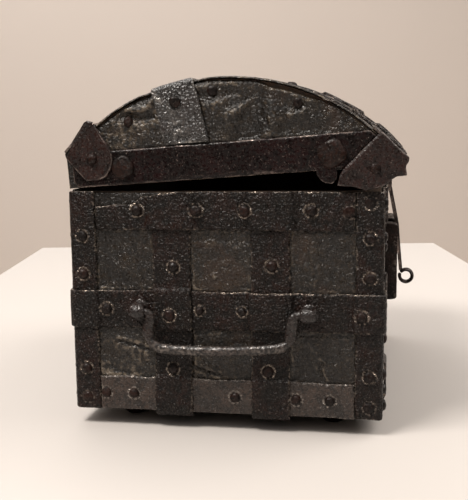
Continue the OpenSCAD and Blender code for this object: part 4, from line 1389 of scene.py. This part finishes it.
def lock_rivets():
    """A small rivet in each corner of the lock plate."""
    part = Part()
    for k, (x, z) in enumerate([(x, z) for x in (PLATE_LO[0] + 1.9, PLATE_HI[0] - 2.6)
                                for z in (PLATE_LO[2] + 3.4, PLATE_HI[2] - 3.4)]):
        part.add(rivet((x, PLATE_LO[1] + 0.2, z), (0, -1, 0), 1.6, 1.0, 530 + k))
    part.build("lock_rivet_heads", RIVET_MAT, "box", "lock_rivets")


def bolt_tool(x0, x1):
    """Room for the bolt to pass, from one place along X to another."""
    lo, hi = node_box("lock_bolt")
    room = 0.3
    return box_tool((x0, lo[1] + 0.9, lo[2] - room), (x1, hi[1] + room, hi[2] + room))


def front_dents(seed):
    """Shallow dents for a flat piece on the front."""

    def relief(f):
        return -0.1 + 0.1 * layered(xyz(f[:, 0], f[:, 1], 0), 5, 2, seed)

    return relief


def keyhole_tool(face_y):
    """A round bow with a straight slot below it."""
    lo, hi = node_box("key_pin")
    x, z = (lo[0] + hi[0]) / 2, (lo[2] + hi[2]) / 2
    outline = []
    for a in full_turn(24):
        px, pz = 2.2 * math.sin(a), 2.2 * math.cos(a)
        if pz < -1.9:
            px, pz = math.copysign(0.9, px), -6
        outline.append((x + px, z + pz))
    return prism(outline[::-1], face_y + 3, face_y - 2, lambda px, pz, y: (px, y, pz))


def hinge_pins():
    """Two pins, each with a small head at both ends."""
    part = Part()
    for k, s in enumerate((-1, 1)):
        mid = s * CROSS_X
        half = HALF_S + 0.7
        radius = np.full(14, 1.0)
        radius[[0, -1]] = 1.2
        radius[[1, -2]] = 1.6
        part.add(rod(mid - half, mid + half, HINGE[0] + MID_Y, HINGE[1], radius, 16, 0.05, 540 + k))
    part.build("hinge_pin_rods", RIVET_MAT, "box", "hinge_pins")


# ---------------------------------------------------------------- the lid: leather


def dome_height(y, radius=DOME_R):
    """Height of the dome above a place along Y, on the shut lid."""
    return DOME_Z + np.sqrt(np.maximum(radius**2 - (y - DOME_Y) ** 2, 0))


def shut(p):
    """Coordinates on the shut lid, from points at rest: y and z from the middle and the rim."""
    pivot = np.array([0, HINGE[0] + MID_Y, HINGE[1]])
    q = p - pivot
    c, s = math.cos(AJAR), math.sin(AJAR)
    y = q[..., 1] * c - q[..., 2] * s + pivot[1] - MID_Y
    z = q[..., 2] * c + q[..., 1] * s + pivot[2] - TOP
    return p[..., 0], y, z


def dome_angle(p):
    """Angle of points at rest about the dome's axis, up from the back of the shut lid."""
    _, y, z = shut(p)
    return np.degrees(np.arctan2(z + TOP - DOME_Z, y - DOME_Y))


# Folds and hollows of the hide on the lid's ends: route in Y and height over the rim, width, height
LID_END_FOLDS = [
    ([(-15.5, 30), (-14.5, 23), (-11.5, 15)], 4.2, -2.2),
    ([(-6, 25.5), (-11, 28.2), (-16.5, 31.0)], 1.6, 1.1),
    ([(-4, 18), (-5, 24), (-2, 30)], 4.0, 0.9),
    ([(-22, 36), (-30, 33), (-38, 29)], 2.5, 0.7),
    ([(37, 31.2), (31, 30.6), (27.5, 31), (25.4, 34)], 1.0, 1.1),
    ([(38, 28.6), (32, 27.6), (27, 28)], 2.0, -1.2),
    ([(9, 37), (0, 38.8), (-9, 38.8)], 1.5, 1.1),
    ([(4, 33.5), (-3, 33), (-8, 34.5)], 1.6, -0.5),
    ([(-21.2, 23.2), (-21.4, 20.4)], 0.45, 0.5),
    ([(-27, 19), (-36, 18), (-44, 17)], 3.2, -0.9),
    ([(-30, 23.5), (-35, 24.5)], 1.5, 0.8),
    ([(-22, 29), (-23.5, 22), (-21, 16)], 3.0, 0.7),
]


def lid_end_relief(p):
    """Folds and lumps of the hide on the lid's ends; flat at the rim and under the straps."""
    _, y, z = shut(p)
    shape = 0.6 + 0.5 * layered(p, 12, 2, 601) + 0.34 * layered(p, 3.6, 3, 602)
    shape = shape + marked(y, z, LID_END_FOLDS)
    rough_patch = stroke(y, z, [(-30, 25), (-36, 22)], 6)
    shape = shape + 0.35 * rough_patch * layered(p, 1.8, 2, 603)
    edge = smooth(dome_height(y) - TOP - z, 0.8, 4)
    under_strap = smooth(z, 14.2, 16.5)
    under_fold = stroke(y, z, [(14.6, 40), (11, 16)], 9)
    free = edge * under_strap * (1 - smooth(under_fold, 0.3, 0.75))
    return np.clip(shape - 0.15, -0.54, 1.6) * free - 0.08


def lit_patch_and_pale_band(p):
    """Where the hide of the lid's ends is painted paler: a painted patch of light behind the folded strap,
    where the key lamp falls most, and a paler band at the crest.
    """
    _, y, z = shut(p)
    return 0.28 * stroke(y, z, [(44, 19), (28, 27)], 8) + 0.14 * stroke(y, z, [(2, 30), (-8, 30)], 7)


def lid_leather():
    """The lid's covering: the dome with its coin slot, the back and the two ends."""
    part = Part()
    wood_r = DOME_R - HIDE
    back_angle = math.degrees(math.acos((LID_BACK + HIDE - DOME_Y) / DOME_R))
    out = LID_END + FOLD_GAP
    arc = dome_arc(back_angle, front_angle(3), wood_r)
    crown = plate(
        lengthways(arc, on_lid=True), 0, arc.length, -out, out, HIDE, relief=dome_relief,
        lift=rim_flare, pitch=0.9, t_pitch=0.9, ragged=0.22, ragged_size=11, seed=611, wear_gain=0.8)
    part.add(cut_away(crown, slot_tool()))
    back = lid_face(lambda x, z: (x, LID_BACK + MID_Y, z), (0, 1, 0))
    part.add(plate(back, -LID_END, LID_END, TOP + 1.0, TOP + 14.4, HIDE, relief=dome_relief,
                   pitch=1.2, ragged=0.1, seed=613))

    def upper(y):
        gap = 0.5 + 1.3 * between(y, -36, -24, 6) + 0.3 * line_noise(y, 6, 620)
        return dome_height(y, wood_r) - gap

    for side in (-1, 1):
        part.add(plate(
            lid_end_face(LID_END - HIDE, side), -71.5, LID_BACK + HIDE - 0.2, TOP + 1, upper, HIDE,
            relief=lid_end_relief, pitch=0.55 if side < 0 else 0.9, ragged=0.0, seed=615 + side,
            more_wear=lit_patch_and_pale_band))
    part.build("lid_leather_hide", LEATHER_MAT, "lid", "lid_leather")


def slot_tool():
    """The coin slot through the crest of the lid."""
    half_l, half_w, depth = 18, 3, 8
    return prism(rect(-half_l, half_l, -half_w, half_w), DOME_R - depth, DOME_R + depth,
                 lambda x, y, r: ajar(np.array([x, DOME_Y + MID_Y + y, DOME_Z + r])))


def rim_flare(p):
    """The dome's sheet turns up a little at both ends, but not under the folded strap."""
    angle = dome_angle(p)
    crown = between(angle, 66, 126, 9)
    crown = crown * (1 - between(angle, BACK_STRAP[0] - 1.3, BACK_STRAP[1] + 1.3, 1.5))
    return 0.4 * smooth(np.abs(p[..., 0]), 78, LID_END) * crown


def dome_relief(p):
    """Lengthwise streaks and shallow dents of the lid's hide."""
    drawn_out = p * np.array([0.25, 1, 1])
    return -0.14 + 0.12 * layered(drawn_out, 3, 2, 630) + 0.12 * layered(p, 14, 2, 631)


# ---------------------------------------------------------------- the lid: irons


def lid_foot_straps():
    """The straps along the foot of the lid's ends, scraped along the lower edge at the front."""

    def upper(y):
        return np.minimum(TOP + 15.2 + 0.12 * line_noise(y, 9, 640), dome_height(y, 88.7))

    def lower(y):
        return TOP + 1 + 0.35 * np.abs(line_noise(y, 5, 641)) + 2.4 * smooth(y, 58.5, 61.8) ** 2

    def relief(p):
        _, y, z = shut(p)
        lap = 0.1 * smooth(y, 6.2, 6.8) - 0.1
        ragged = 2.2 + 0.5 * line_noise(y, 5, 645)
        scrape = -0.2 * (1 - smooth(z, ragged - 0.3, ragged)) * (1 - smooth(y, 14, 24))
        return lap + scrape - 0.06 + 0.06 * layered(p, 5, 2, 642)

    for name, side in ENDS:
        part = Part().add(plate(
            lid_end_face(LID_END, side), -71.6, 61.6, lower, upper, IRON, relief=relief,
            pitch=0.6 if side < 0 else 0.9, ragged=0.08, seed=643 + side, wear_gain=1.1))
        part.add(torn_scrap(side))
        part.build(f"lid_foot_strap_{name}_iron", SMOOTH_MAT, "lid", f"lid_foot_strap_{name}")


# Outlines of the tabs folded over the lid's ends, from the fold: Y and height over the rim
FRONT_TAB = [(-64.2, 14.8), (-74.4, 3.6), (-74.0, 2.2), (-72.9, 0.6), (-73.1, -3.1), (-69.1, -3.2),
             (-66.9, -4.4), (-64.7, -6.2), (-61.5, -7.4), (-57.3, -7.8), (-52.5, -6.2), (-46.3, -5.2),
             (-47.2, -2.0), (-49.1, 1.6)]
BACK_TAB = [(54.2, 27.6), (52.8, 28.2), (50.8, 27.4), (45.4, 17.7), (43.9, 14.0), (43.7, 11.4), (44.6, 8.2),
            (47, 4.8), (49.6, 3.8), (52.5, 3.5), (55.5, 3.4), (61.6, 10.9), (63.3, 13.2), (63.8, 15.2)]


def lid_end_sheet(outline, side, thick, seed, ragged, bevel, rings, relief):
    """A sheet on the plane under the tabs of the lid's end, from flat Y and height points."""

    def place_at(flat, height):
        out = side * (EAVE_OUT - IRON + height)
        return ajar(xyz(out, flat[:, 0] + MID_Y, flat[:, 1] + TOP))

    shell = sheet_piece(outline, place_at, thick, seed, ragged, bevel, rings, relief)
    return shell if side > 0 else flipped(shell)


def tab_relief(fold_from, fold_to):
    """Dents of a tab, which rounds over toward its fold line."""
    (ay, az), (by, bz) = fold_from, fold_to
    length = math.hypot(by - ay, bz - az)

    def relief(f):
        off = np.abs((f[:, 0] - ay) * (bz - az) - (f[:, 1] - az) * (by - ay)) / length
        dents = layered(xyz(f[:, 0], f[:, 1], 0), 6, 2, 672)
        return -0.08 + 0.08 * dents - 0.75 * (1 - smooth(off, 0, 2.2)) ** 2

    return relief


def eaves():
    """The straps along the lid's front and back edges, with tabs folded over the ends."""
    for name, span, tab, seed in (
            ("front", FRONT_EAVE, FRONT_TAB, 660), ("back", BACK_EAVE, BACK_TAB, 670)):
        arc = dome_arc(*span)
        part = Part().add(plate(
            lengthways(arc, on_lid=True), 0, arc.length, -EAVE_OUT + 0.3, EAVE_OUT - 0.3, IRON,
            relief=hammered(0.12, 8, seed), pitch=0.6, t_pitch=0.9, ragged=0.2, seed=seed))
        for side in (-1, 1):
            part.add(lid_end_sheet(
                tab, side, IRON, seed + side, 0.16, 0.45, 14, tab_relief(tab[0], tab[-1])))
        part.build(f"lid_eave_{name}_iron", BROWN_MAT, "lid", f"lid_eave_{name}")


def folded_band(a0, a1, end_x, fold):
    """Surface of a strap over the dome that folds down both ends; t runs across it."""
    mid = math.radians((a0 + a1) / 2)
    radial = np.array([0, math.cos(mid), math.sin(mid)])
    sideways = np.array([0, -math.sin(mid), math.cos(mid)])
    low = DOME_R - fold
    track = Track([(end_x, low), (end_x, DOME_R), (-end_x, DOME_R), (-end_x, low)], 1.0)
    axis = np.array([0, DOME_Y + MID_Y, DOME_Z])

    def surface(s, t):
        p, n = track(s)
        zero = (0 * s + 0 * t)[..., None]
        down = np.clip((DOME_R - p[..., 1]) / fold, 0, 1)
        r = p[..., 1] - t**2 / (2 * DOME_R) - t * down / math.tan(mid)
        point = axis + zero + r[..., None] * radial + (t + 0 * s)[..., None] * sideways
        point[..., 0] = p[..., 0] + 0 * t
        normal = n[..., 1:] * radial + zero
        normal[..., 0] = n[..., 0] + 0 * t
        return ajar(point), turn_ajar(normal)

    return track, surface


def lid_back_strap():
    """The polished strap along the dome that folds down over both ends."""
    track, surface = folded_band(*BACK_STRAP, LID_END + FOLD_GAP, 23.6)

    def relief(p):
        x, y, z = shut(p)
        worn = hammered(0.3, 5, 680)(p)
        hole = -1.0 * stroke(y, z, [(12.6, 18.2), (14.0, 17.0), (15.2, 18.0)], 1.1)
        slit = -0.6 * stroke(y, z, [(14.2, 22.8), (16.8, 22.6)], 0.5)
        return np.maximum(worn + np.where(np.abs(x) > LID_END, hole + slit, 0), -1.05)

    # Paler middle and top corner of the folded ends: partly rubbed wear, partly a painted highlight.
    def rubbed_and_highlit(p):
        x, y, z = shut(p)
        middle = 0.25 * stroke(y, z, [(17.5, 29), (14.5, 21.5)], 4.5)
        corner = 0.5 * stroke(y, z, [(24, 36), (22.5, 33.5)], 1.6)
        return np.where(np.abs(x) > LID_END, middle + corner, 0)

    n = track.length
    part = Part().add(plate(
        surface, 0, n, -9, 9, IRON, relief=relief, ragged=0.35, seed=681, t_pitch=0.6, more_wear=rubbed_and_highlit,
        mids=stations((0.7, 30, 0.9), (30, n - 30, 1.1), (n - 30, n - 0.7, 0.55))))
    part.build("lid_long_strap_back_iron", POLISHED_MAT, "lid", "lid_long_strap_back")


def lid_front_strap():
    """The strap along the dome nearer the front, which stops at the ends."""
    arc = dome_arc(*FRONT_STRAP)
    part = Part().add(plate(
        lengthways(arc, on_lid=True), 0, arc.length, -LID_END, LID_END, IRON,
        relief=hammered(0.25, 6, 684), ragged=0.3, seed=685, pitch=0.7, t_pitch=1.0, wear_gain=0.5))
    part.build("lid_long_strap_front_iron", IRON_MAT, "lid", "lid_long_strap_front")


def lid_hinges():
    """Two straps over the dome, each with two knuckles on its hinge pin."""
    skin = LID_BACK + HIDE
    leaf_low = HINGE[1] + 2.8
    first = math.degrees(math.acos((skin - DOME_Y) / DOME_R))
    last = front_angle(3.4, DOME_R + IRON)
    leaf_top = DOME_Z + DOME_R * math.sin(math.radians(first)) - 1
    track = dome_arc(first + 0.6, last, tail=[(skin, leaf_low), (skin, leaf_top)])
    tongue = Track([(skin, HINGE[1] - 0.6), (skin, leaf_low + 1.2)])
    rise, gap = 0.9, 0.2

    def lift(p):
        angle = dome_angle(p)
        back, front = BACK_EAVE[1] + gap, FRONT_EAVE[0] - gap
        return IRON * np.maximum.reduce([
            1 - smooth(angle, back, back + rise),
            between(angle, BACK_STRAP[0] - gap, BACK_STRAP[1] + gap, rise),
            between(angle, FRONT_STRAP[0] - gap, FRONT_STRAP[1] + gap, rise),
            smooth(angle, front - rise, front)])

    for name, side in ENDS:
        mid = side * CROSS_X
        part = Part().add(strap(
            lengthways(track, on_lid=True), 0, track.length, mid, (0.25, 6, 690 + side), 691 + side,
            lift=lift, pitch=0.75, wear_gain=0.5))
        for s in (-1, 1):
            lo, hi = sorted((mid + s * (KNUCKLE_W / 2 + 0.3), mid + s * HALF_S))
            part.add(plate(
                lengthways(tongue, on_lid=True), 0, tongue.length, lo, hi, IRON,
                lift=raised(IRON), ragged=0.05, seed=695 + s, pitch=0.7))
            part.add(knuckle_tube(lo, hi, 697 + s + side))
        part.build(f"lid_hinge_{name}_iron", IRON_MAT, "lid", f"lid_hinge_{name}")


def torn_scrap(side):
    """A torn scrap of sheet that hangs out from under the foot strap, below the front nail."""
    outline = [(-38.2, 2.5), (-38.6, -0.4), (-40.0, -2.2), (-42.0, -3.6), (-44.8, -3.9), (-46.4, -2.4),
               (-46.4, 2.5)]
    shell = lid_end_sheet(outline, side, 0.5, 650, 0.5, 0.3, 8, front_dents(651))
    return (shell[0] - np.array([side * 0.3, 0, 0]),) + tuple(shell[1:])


def lid_rivet_heads():
    """The rivets of the lid and the big nails of its ends."""
    part = Part()

    def end_rivet(y, z, off, r, h, seed, side):
        at = ajar(np.array([side * (LID_END + off - 0.15), y + MID_Y, z + TOP]))
        part.add(rivet(at, (side, 0, 0), r, 1.5 * h + 0.3, seed, 2))

    # Places in Y and over the rim, how far each stands off the hide, its radius and its height
    tab_off = EAVE_OUT - LID_END
    for side in (-1, 1):
        for k, (y, z, off, r, h) in enumerate([
                (36.2, 26.2, 0, 2.1, 1.0), (0.7, 35.8, 0, 2.3, 1.0), (-33.1, 28.1, 0, 2.2, 1.0),
                (15.9, 32.6, FOLD_GAP + IRON, 2.4, 1.1), (52.3, 12.5, tab_off, 2.2, 0.9),
                (-61.4, 0.5, tab_off, 2.2, 0.7)]):
            end_rivet(y, z, off, r, h, 700 + k + 10 * side, side)
        big_nail(part, side, 39.9, 8.1, r=4.8, h=2.6, seed=720, squareness=2.4, facets=5)
        big_nail(part, side, -45.0, 7.3, r=5.7, h=2.5, seed=730, squareness=3.4, facets=3)
    for k, x in enumerate((-70, -25, 25, 70)):
        for angle in (sum(BACK_STRAP) / 2, sum(FRONT_STRAP) / 2, 51, 139):
            dome_rivet(part, angle, x, 740 + k + int(angle))
    for x in (-CROSS_X, CROSS_X):
        for angle in (65, 95, 108):
            dome_rivet(part, angle, x, 760 + int(angle))
    part.build("lid_rivet_heads", RIVET_MAT, "lid", "lid_rivets")


def dome_rivet(part, angle, x, seed):
    """Adds a rivet on the dome, at an angle up from the back."""
    a = math.radians(angle)
    direction = np.array([0, math.cos(a), math.sin(a)])
    at = np.array([x, DOME_Y + MID_Y, DOME_Z]) + direction * (DOME_R + IRON - 0.2)
    part.add(rivet(ajar(at), turn_ajar(direction), 2.3, 1.2, seed))


def big_nail(part, side, y, z, r, h, seed, squareness, facets):
    """A large forged nail head: squarish, thick, with hammered flats."""
    at = ajar(np.array([side * (LID_END + IRON - 0.3), y + MID_Y, z + TOP]))
    profile = [(r, 0), (r, 0.22 * h), (0.97 * r, 0.4 * h), (0.86 * r, 0.66 * h), (0.7 * r, 0.84 * h),
               (0.5 * r, 0.95 * h), (0.28 * r, h), (0.08 * r, h)]
    verts, quads, ngons, wear = lump(at, (side, 0, 0), profile, 40, 0.05, facets, seed, 0.0)
    rel = verts - at
    angle = np.arctan2(rel[:, 2], rel[:, 1]) + 0.5
    square = np.abs(np.cos(angle)) ** squareness + np.abs(np.sin(angle)) ** squareness
    square = square ** (-1 / squareness)
    rel[:, 1:] *= (square / square.max())[:, None] * 1.04
    part.add((at + rel, quads, ngons, wear))


def slot_plate():
    """The plate round the coin slot."""
    arc = dome_arc(90 - 3.9, 90 + 3.9)
    shell = plate(lengthways(arc, on_lid=True), 0, arc.length, -26, 26, IRON,
                  relief=hammered(0.12, 6, 770), ragged=0.15, seed=771, pitch=0.7)
    Part().add(cut_away(shell, slot_tool())).build(
        "slot_plate_iron", RIVET_MAT, "lid", "slot_plate")


# ---------------------------------------------------------------- hasp


HASP_W = 12.0


def hasp_pin_place():
    """The hasp pin's Y and Z at rest, and how far it reaches along X."""
    lo, hi = node_box("hasp_pin")
    return (lo[1] + hi[1]) / 2, (lo[2] + hi[2]) / 2, hi[0]


def hasp_line():
    """The hanging hasp's middle line at rest, from its pin to its finger ring.

    Places are in Y, from the box's middle, and Z.
    """
    pin_y, pin_z, _ = hasp_pin_place()
    drops = [(-66.9, 4), (-70.5, 22.2), (-71.4, 33.2), (-72.3, 42.5), (-72.5, 45)]
    return [(pin_y - MID_Y, pin_z)] + [(y, TOP - drop) for y, drop in drops]


def hasp():
    """The hinged hasp with its staple and finger ring."""
    line = hasp_line()
    track = Track(line, 4.0)
    half_t = 0.9

    def width(s):
        z = track(s)[0][:, 1] - TOP
        return 2.8 + (HASP_W / 2 - 2.8) * smooth(z, -46, -34)

    part = Part().add(plate(
        lengthways(track), 0.2, track.length, lambda s: -width(s), width, 2 * half_t,
        lift=raised(-half_t), relief=hammered(0.12, 5, 780), ragged=0.12, seed=781,
        pitch=0.6, wear_gain=1.1))
    py, pz = line[0]
    part.add(rod(-HASP_W / 2, HASP_W / 2, py + MID_Y, pz, capped(1.45, 20, 1), 18, 0.04, 782))
    part.add(finger_ring())
    part.add(staple())
    part.build("hasp_iron", SMOOTH_MAT, "hasp", "hasp")


def finger_ring():
    """The hasp's end, curled outward into a ring."""
    mid_y, mid_z, r = -75.1, TOP - 48.2, 3.05
    turns = np.linspace(math.radians(35), math.radians(35 + 345), 40)
    route = xyz(0, mid_y + MID_Y + r * np.cos(turns), mid_z + r * np.sin(turns))
    verts, quads, ngons, wear = stretched(bar(route, capped(0.88, 40, 1), 14, 0.06, 783, 2.5), 0, 2.9)
    return verts, quads, ngons, np.clip(wear + 0.2, 0, 1)


def staple():
    """The loop on the hasp's back that the bolt goes through."""
    tip_y, tip_z = -68.35, TOP - 28.2
    route = [(0, tip_y - 2.6, tip_z + 3.6), (0, tip_y - 0.5, tip_z + 3.4), (0, tip_y, tip_z + 2.6),
             (0, tip_y, tip_z - 2.6), (0, tip_y - 0.5, tip_z - 3.4), (0, tip_y - 3.0, tip_z - 3.6)]
    route = curve_through([(x, y + MID_Y, z) for x, y, z in route], 40)
    return stretched(bar(route, capped(0.42, 40, 1), 12, 0.05, 784, 2), 0, 3.2)


def hasp_hinge_plate():
    """The plate under the eave, with a knuckle on either side of the hasp's own."""
    y, z, reach = hasp_pin_place()
    part = Part()
    for s in (-1, 1):
        lo, hi = sorted((s * (HASP_W / 2 + 0.3), s * reach))
        part.add(rod(lo, hi, y, z, capped(1.5, 12, 1), 18, 0.04, 790 + s))
    shut_y = -HALF_W - IRON - 2.5
    under_eave = lid_face(lambda x, y: (x, y + MID_Y, TOP + 1.8), (0, 0, 1))
    part.add(plate(under_eave, -reach, reach, shut_y + 2.6, shut_y + 4.4, IRON * 0.98, pitch=0.7,
                   ragged=0.05, seed=795))
    for s in (-1, 1):
        lo, hi = sorted((s * (HASP_W / 2 + 0.35), s * reach))
        part.add(plate(under_eave, lo, hi, shut_y - 1.2, shut_y + 3.0, IRON * 0.98, pitch=0.7,
                       ragged=0.05, seed=796 + s))
    part.build("hasp_hinge_plate_iron", IRON_MAT, "lid", "hasp_hinge_plate")


def hasp_pin():
    """The thin pin through the three knuckles of the hasp."""
    y, z, reach = hasp_pin_place()
    part = Part().add(rod(-reach, reach, y, z, capped(0.7, 16, 1), 14, 0.03, 799))
    part.build("hasp_pin_rod", RIVET_MAT, "lid", "hasp_pin")


# ---------------------------------------------------------------- stage, light and camera


# The camera: its place in metres, its angles in degrees and its lens in millimetres
CAMERA_AT = Vector((-0.4332, -0.0610, 0.1258))
CAMERA_AZIMUTH = 280.05
CAMERA_ELEVATION = 8.13
CAMERA_ROLL = -0.74
LENS = 62.72


def camera_axes():
    """The camera's right, up and back directions."""
    a, e, r = (math.radians(v) for v in (CAMERA_AZIMUTH, CAMERA_ELEVATION, CAMERA_ROLL))
    back = Vector((math.sin(a) * math.cos(e), -math.cos(a) * math.cos(e), math.sin(e)))
    right = Vector((0, 0, 1)).cross(back).normalized()
    up = back.cross(right)
    return right * math.cos(r) + up * math.sin(r), up * math.cos(r) - right * math.sin(r), back


def add_camera():
    """The camera, at the photo's angle."""
    data = bpy.data.cameras.new("camera")
    data.lens = LENS
    data.sensor_width = 36
    data.clip_start = 0.01
    camera = bpy.data.objects.new("camera", data)
    bpy.context.scene.collection.objects.link(camera)
    right, up, back = camera_axes()
    turn = Matrix((right, up, back)).transposed()
    camera.matrix_world = Matrix.Translation(CAMERA_AT) @ turn.to_4x4()
    bpy.context.scene.camera = camera


def slab(name, x0, x1, y0, y1, z0, z1, material, turn, pivot):
    """A plain block of the stage, turned about the upright axis at pivot. Sizes in metres."""
    corners = ((x0, y0), (x1, y0), (x1, y1), (x0, y1))
    rings = np.array([[(x, y, z) for x, y in corners] for z in (z0, z1)]) * 1000
    quads, ngons = loft(rings)
    obj = make_object(name, rings.reshape(-1, 3), quads, ngons, material)
    obj.matrix_world = Matrix.Translation((pivot[0], pivot[1], 0)) @ Matrix.Rotation(turn, 4, "Z")


def add_stage():
    """A pale table that ends behind the box, and a pale wall far behind it."""
    heading = math.atan2(-camera_axes()[2].y, -camera_axes()[2].x) - math.radians(0.2)
    pivot = (CAMERA_AT.x, CAMERA_AT.y)
    table = stage_paint("table_paint", colour(183, 178, 174), 0.6)
    wall = stage_paint("wall_paint", colour(205, 194, 185), 0.8)
    slab("table", -0.6, 0.915, -0.208, 0.206, -0.03, 0.0, table, heading, pivot)
    slab("ground", -3, 5, -4, 4, -0.62, -0.6, wall, heading, pivot)
    slab("wall", 2.2, 2.3, -4, 4, -0.62, 3.0, wall, heading, pivot)


def area_light(name, at, aim, size, power, tint):
    """A rectangular lamp aimed at a point; power in watts."""
    data = bpy.data.lights.new(name, "AREA")
    data.shape = "RECTANGLE"
    data.size, data.size_y = size
    data.energy = power
    data.color = tint
    light = bpy.data.objects.new(name, data)
    bpy.context.scene.collection.objects.link(light)
    light.location = at
    light.rotation_euler = (Vector(aim) - Vector(at)).to_track_quat("-Z", "Y").to_euler()


def add_light():
    """A dim room that is brighter overhead, a key lamp, a fill at the right and a lamp for the wall."""
    world = bpy.data.worlds.new("studio")
    bpy.context.scene.world = world
    world.use_nodes = True
    tree = world.node_tree
    sky = tree.nodes["Background"]
    ways = add_node(tree, "ShaderNodeTexCoord").outputs["Generated"]
    height = add_node(tree, "ShaderNodeSeparateXYZ", {"Vector": ways}).outputs["Z"]
    feed(tree, sky, {"Color": (1.0, 0.93, 0.86, 1), "Strength": ramp(tree, height, 0.1, 0.9, 0.04, 1.05)})
    area_light("key", (-0.45, 0.36, 0.98), (-0.05, 0, 0.08), (0.4, 0.3), 14, (1, 0.94, 0.88))
    area_light("right", (0.25, -0.8, 0.9), (0.1, -0.2, 0), (0.8, 0.8), 11, (1, 0.94, 0.88))
    area_light("wall_wash", (1.0, 0.8, 1.6), (2.2, 0.6, 0.3), (1.6, 1.6), 24, (1, 0.99, 0.98))


CAD_FINISH = {
    "wood": WOOD_MAT, "leather": LEATHER_MAT, "iron": IRON_MAT, "worn_iron": RIVET_MAT,
    "lock_steel": STEEL_MAT}


def finish_cad_nodes():
    """Gives every CAD node that still shows the material of its slot."""
    slots = {}
    for row in frame["record"]["materials"]:
        for node in row.get("nodes", []):
            slots[node] = row["slot"]
    for name, obj in frame["nodes"].items():
        material = CAD_FINISH[slots.get(name, "wood")]
        if not obj.material_slots:
            obj.data.materials.append(material)
        for slot in obj.material_slots:
            slot.material = material


body_leather()
corner_irons()
straps_round(
    "rim", TOP - RIM_W, TOP, {"left": rim_lift_end, "right": rim_lift_end, "front": cross_lift},
    {"left": torn_rim}, 30, IRON_MAT)
# The base straps take the lighter iron, a painted reflection of the table.
straps_round("base", FOOT, FOOT + BASE_W, {}, {}, 40, TABLE_REFLECTION_MAT)
waist_band()
long_straps()
cross_straps()
end_rivets()
long_rivets()
feet()
handle_eyes()
handles()
lock_plate()
lock_case_and_keep()
lock_rivets()
hinge_pins()
lid_leather()
lid_foot_straps()
eaves()
lid_back_strap()
lid_front_strap()
lid_hinges()
lid_rivet_heads()
slot_plate()
hasp()
hasp_hinge_plate()
hasp_pin()
finish_cad_nodes()
add_stage()
add_light()
add_camera()
bpy.context.scene.view_settings.view_transform = "Standard"
